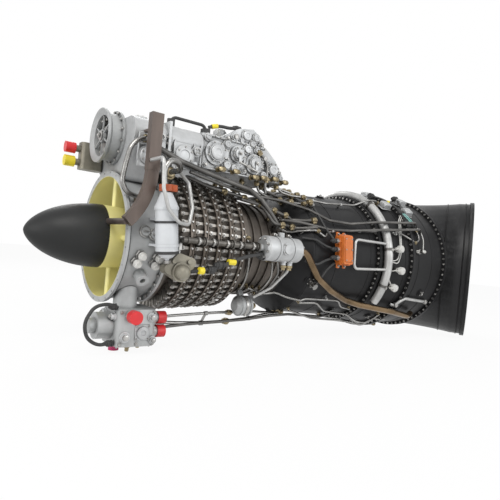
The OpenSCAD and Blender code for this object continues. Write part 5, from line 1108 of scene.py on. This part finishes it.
class ENGINE_OT_accessory_trim(bpy.types.Operator):
    """Adds the clamps, screws and unions of the filter, bleed valve, ignition unit, tank and pump"""

    bl_idname = "engine.accessory_trim"
    bl_label = "Accessory trim"

    # Middle of the filter and its lean, and the points along its pipe
    filter_middle, filter_lean = mm(84, -258, 32), math.radians(6)
    filter_pipe = ((72, -258, 132), (61, -262, 165), (61, -262, 196), (76, -262, 219), (104, -252, 220),
                   (128, -228, 203), (128, -172, 204))
    # Points along the pump's lead
    pump_lead = ((14, -140, -196), (-18, -150, -184), (-56, -150, -192), (-80, -150, -236), (-70, -150, -278),
                 (-36, -146, -300), (12, -132, -296))
    # Clock angle and distance from the shaft of the bleed valve
    valve_clock, valve_r = 88, 246
    # Station and clock angle of the ignition unit
    ignition_x, ignition_clock = 791.6, 84
    # Clock angle and distance from the shaft of the drain tank
    tank_clock, tank_r = 152, 222

    def execute(self, context):
        orange, dark, bright, brass, face, cast = shapes(6)
        lean = Vector((-math.sin(self.filter_lean), 0, math.cos(self.filter_lean)))
        middle = self.filter_middle
        clip = middle + lean * 112 * MM
        orange.band(clip, lean, 12, 19.5, 9, 28)
        orange.slab(clip + mm(16, -12, 0), (0.8, -0.6, 0), lean, (20, 13, 18), 1.4)
        bright.nut(clip + mm(24, -10, 0), (0.6, 0.8, 0), 4, 5)
        dark.turned(middle - lean * 66 * MM, lean, [(31.6, 0), (33.4, 1), (33.4, 7), (31.6, 8)], 36)
        dark.band(middle + lean * 20 * MM, lean, 31.2, 32.6, 3, 36)
        bright.turned(middle - lean * 92 * MM, lean, [(8, 0), (10, 1), (10, 8), (8, 9)], 6)
        brass.turned(mm(128, -150, 200), (0, -1, 0.2), [(16, -6), (19, -4), (19, 6), (15, 8), (15, 16), (12, 18)], 28)
        bright.nut(mm(128, -167, 203), (0, -1, 0.2), 7, 6)

        Shape().tube(route(self.filter_pipe, 0.018), 8, 14).make("filter_pipe", "bright_steel")
        dark.tube(route(self.pump_lead, 0.03), 5, 12)
        dark.plug(mm(6, -138, -297), FORE, 9, 24)
        dark.plug(mm(8, -142, -194), FORE, 9, 22)

        clock, valve = self.valve_clock, self.valve_r
        up, around = out(clock), round_way(clock)
        for x, way in ((428, -1), (578, 1)):
            for c, s in circle(8):
                spot = at(x, clock, valve) + (up * c + around * s) * 31 * MM
                bright.nut(spot, (way, 0, 0), 3.6, 4)
        for x in (473, 533):
            bright.slab(at(x, clock, valve) + around * -44 * MM, AFT, up, (9, 13, 14), 1.5)
            bright.nut(at(x, clock, valve + 8) + around * -44 * MM, up, 3.6, 5)
        for x, r in ((520, 9), (545, 11)):
            spot = at(x, clock, valve) + around * 37 * MM
            cast.turned(spot, around, [(r + 3, 0), (r + 3, 5), (r, 6), (r, 14)], 20)
            brass.turned(spot, around, [(r - 1, 14), (r + 1, 15), (r + 1, 22), (r - 2, 23), (r - 2, 30)], 6)
        dark.plug(at(432, 94, valve + 4), FORE, 12, 26)
        cast.turned(at(500, clock, valve + 39), up, [(20, -3), (20, 4), (16, 5), (16, 9), (6, 10)], 24)
        for c, s in circle(4):
            bright.screw(at(500, clock, valve + 43) + (AFT * c + around * s) * 17 * MM, up, 2.4, 2)

        middle_x, clock = self.ignition_x, self.ignition_clock
        up, around = out(clock), round_way(clock)
        face.slab(at(middle_x, clock, 286.6), AFT, up, (38, 88, 5), 1.6)
        for dx in (-15, 15):
            for side in (-1, 0, 1):
                bright.screw(at(middle_x + dx, clock, 289) + around * 38 * side * MM, up, 2.6, 2.4)
        for k in (-30, 0, 30):
            spot = at(middle_x - 24, clock, 264) + around * k * MM
            face.turned(spot, FORE, [(12, -1), (12, 6), (10, 7)], 6)
            bright.turned(spot, FORE, [(8.6, 7), (9.4, 8), (9.4, 15), (6, 16), (6, 20)], 16)
        for dx in (-16, 16):
            for side in (-1, 1):
                face.slab(at(middle_x + dx, clock, 248) + around * 56 * side * MM, AFT, up, (14, 18, 6), 1.4)
                bright.nut(at(middle_x + dx, clock, 251) + around * 58 * side * MM, up, 3.6, 4.5)

        tank = at(475, self.tank_clock, self.tank_r)
        bright.band(tank, AFT, 33.2, 34.8, 5, 36)
        brass.union_nut(at(515, self.tank_clock, self.tank_r), AFT, 7, 24)
        bright.nut(tank + out(self.tank_clock) * 34 * MM, AFT, 4, 6)

        for x in (20, 70, 120):
            for z in (-298, -208):
                bright.nut(mm(x, -158, z), NEAR, 4.4, 4.6)
        cast.slab(mm(86, -158, -266), AFT, NEAR, (46, 46, 7), 2)
        cast.turned(mm(86, -160, -266), NEAR, [(18, 0), (18, 6), (15, 8), (8, 8), (7, 6)], 28)
        for c, s in circle(4):
            bright.screw(mm(86 + 26 * c, -161.5, -266 + 26 * s), NEAR, 3, 2.6)
        for x, z, r, h in ((112, -222, 11, 9), (34, -278, 13, 8), (118, -288, 9, 10), (64, -216, 8, 8)):
            cast.turned(mm(x, -157.5, z), NEAR, [(r + 3, -1), (r + 3, 3), (r, 4), (r, h)], 24)
            bright.turned(mm(x, -157.5 - h, z), NEAR, [(0.7 * r, -1), (0.7 * r, 4), (0.5 * r, 5)], 6)
        for x, y, h in ((51, -140, 16), (92, -120, 12), (74, -70, 14)):
            brass.turned(mm(x, y, -305.5), DOWN, [(9, 0), (9, 5), (6.5, 6), (6.5, h - 3), (5, h)], 6)
        for y, z, r in ((-132, -222, 10), (-60, -222, 12), (-64, -284, 10)):
            cast.turned(mm(10.5, y, z), FORE, [(r + 3, -1), (r + 3, 3), (r, 4), (r, 10), (r - 2, 12)], 24)
            bright.nut(mm(0, y, z), FORE, 0.6 * r, 6)
        for z in (-286, -264, -242, -220):
            cast.slab(mm(130.5, -64, z), FAR, AFT, (44, 6, 5), 1.4)
        for y in (-140, -96, -52):
            bright.nut(mm(20, y, -306), DOWN, 4, 4)
            bright.nut(mm(118, y, -306), DOWN, 4, 4)
        for y, z in ((-115, -271), (-115, -230)):
            bright.turned(mm(132, y, z), AFT, [(15, 0), (17, 1.4), (17, 11), (15, 12.4)], 6)
        orange.make("filter_clip", "clip_orange", "orange_paint")
        dark.make("accessory_collars", "black_cable")
        bright.make("accessory_fasteners", "bolt_steel")
        brass.make("accessory_unions", "brass_fitting", "bright_steel")
        face.make("ignition_cover", "orange_paint")
        cast.make("accessory_covers", "light_casting")
        return {"FINISHED"}


class ENGINE_OT_studio(bpy.types.Operator):
    """Adds the pale floor, the soft lights and the camera"""

    bl_idname = "engine.studio"
    bl_label = "Studio"

    # Focal length and width of the fitted picture in pixels, and the camera's yaw, pitch and roll in radians and place
    focal, picture = 465.133, 500
    turns = (0.649, 0.003, 0.088)
    eye = Vector((-0.49215, -1.39555, -0.00665))

    def execute(self, context):
        scene = context.scene
        scene.view_settings.view_transform = "Standard"
        world = scene.world or bpy.data.worlds.new("studio_air")
        scene.world = world
        world.use_nodes = True
        tree = world.node_tree
        tree.nodes.clear()
        ends = add_node(tree, "OutputWorld")
        air = add_node(tree, "Background", {"Color": WHITE, "Strength": 0.48})
        white = add_node(tree, "Background", {"Color": WHITE, "Strength": 1.0})
        self.seen_white(tree, air.outputs[0], white.outputs[0], ends.inputs["Surface"])

        low = CAD_BOX[0].z - 0.004
        floor = bpy.data.meshes.new("floor")
        floor.from_pydata([(-9, -9, low), (11, -9, low), (11, 11, low), (-9, 11, low)], [], [(0, 1, 2, 3)])
        pane = bpy.data.objects.new("floor", floor)
        scene.collection.objects.link(pane)
        floor.materials.append(self.floor_paint())

        for name, spot, aim, size, power, tint in (
            ("key_lamp", (-1.3, -2.3, 2.6), (0.6, 0, 0.05), 1.9, 66, (1, 0.985, 0.96)),
            ("fill_lamp", (1.9, -3.0, 0.9), (0.9, 0, 0), 2.2, 26, (0.96, 0.98, 1)),
            ("front_lamp", (-2.8, -0.6, 0.6), (0.0, 0, 0), 1.8, 22, (1, 1, 1)),
            ("back_lamp", (0.9, 2.8, 2.4), (0.8, 0, 0.1), 2.2, 40, (1, 1, 1)),
        ):
            lamp = bpy.data.lights.new(name, "AREA")
            lamp.shape = "DISK"
            lamp.size = size
            lamp.energy = power
            lamp.color = tint
            holder = bpy.data.objects.new(name, lamp)
            scene.collection.objects.link(holder)
            holder.location = spot
            holder.rotation_euler = (Vector(aim) - Vector(spot)).to_track_quat("-Z", "Y").to_euler()

        lens = bpy.data.cameras.new("camera")
        lens.sensor_width = 36.0
        lens.lens = lens.sensor_width * self.focal / self.picture
        lens.clip_start, lens.clip_end = 0.05, 60
        camera = bpy.data.objects.new("camera", lens)
        scene.collection.objects.link(camera)
        yaw, pitch, roll = self.turns
        ahead = Vector((math.sin(yaw) * math.cos(pitch), math.cos(yaw) * math.cos(pitch), math.sin(pitch)))
        level = Vector((math.cos(yaw), -math.sin(yaw), 0.0))
        upright = level.cross(ahead)
        right = level * math.cos(roll) + upright * math.sin(roll)
        up = upright * math.cos(roll) - level * math.sin(roll)
        turn = Matrix((right, up, -ahead)).transposed().to_4x4()
        camera.matrix_world = Matrix.Translation(self.eye) @ turn
        scene.camera = camera
        return {"FINISHED"}

    def seen_white(self, tree, lit, seen, end):
        """Shows white to the camera and in reflections, and the lit surface to everything else."""
        path = add_node(tree, "LightPath")
        total = path.outputs["Is Camera Ray"]
        for name in ("Is Glossy Ray", "Is Transmission Ray"):
            total = add_math(tree, "MAXIMUM", total, path.outputs[name])
        mix = add_node(tree, "MixShader")
        for socket, way_in in zip((total, lit, seen), mix.inputs):
            tree.links.new(socket, way_in)
        tree.links.new(mix.outputs[0], end)

    def floor_paint(self):
        """Pale floor that keeps a faint shadow."""
        mat = bpy.data.materials.new("pale_floor")
        mat.use_nodes = True
        tree = mat.node_tree
        shader = tree.nodes["Principled BSDF"]
        grain = add_node(tree, "TexNoise", {"Scale": 3.0})
        tint = add_ramp(tree, grain.outputs["Fac"], (0.90, 0.90, 0.90), (0.94, 0.94, 0.94))
        tree.links.new(tint, shader.inputs["Base Color"])
        shader.inputs["Roughness"].default_value = 0.9
        glow = add_node(tree, "Emission", {"Color": WHITE, "Strength": 1.0})
        part = add_node(tree, "MixShader")
        part.inputs[0].default_value = 0.93
        tree.links.new(shader.outputs[0], part.inputs[1])
        tree.links.new(glow.outputs[0], part.inputs[2])
        end = tree.nodes["Material Output"].inputs["Surface"]
        self.seen_white(tree, shader.outputs[0], part.outputs[0], end)
        return mat


class ENGINE_PT_looks(bpy.types.Panel):
    """Lists the engine's pieces and their settings"""

    bl_label = "Engine"
    bl_idname = "ENGINE_PT_looks"
    bl_space_type = "VIEW_3D"
    bl_region_type = "UI"
    bl_category = "Engine"

    def draw(self, context):
        for step in STEPS:
            self.layout.operator(step.bl_idname)
        for group in (context.scene.engine_sizes, context.scene.engine_colours):
            box = self.layout.box()
            for name in group.__annotations__:
                box.prop(group, name)


STEPS = (
    ENGINE_OT_finishes,
    ENGINE_OT_lever_fasteners,
    ENGINE_OT_fine_pipes,
    ENGINE_OT_unit_pipes,
    ENGINE_OT_wiring,
    ENGINE_OT_sensors,
    ENGINE_OT_hot_trim,
    ENGINE_OT_intake_trim,
    ENGINE_OT_gearbox_relief,
    ENGINE_OT_control_unit_relief,
    ENGINE_OT_accessory_trim,
    ENGINE_OT_studio,
)
CLASSES = (EngineColours, EngineSizes, *STEPS, ENGINE_PT_looks)


def register():
    for cls in CLASSES:
        bpy.utils.register_class(cls)
    bpy.types.Scene.engine_colours = bpy.props.PointerProperty(type=EngineColours)
    bpy.types.Scene.engine_sizes = bpy.props.PointerProperty(type=EngineSizes)


def unregister():
    del bpy.types.Scene.engine_sizes
    del bpy.types.Scene.engine_colours
    for cls in reversed(CLASSES):
        bpy.utils.unregister_class(cls)


def main():
    register()
    for step in STEPS:
        group, name = step.bl_idname.split(".")
        getattr(getattr(bpy.ops, group), name)()


if __name__ == "__main__":
    main()
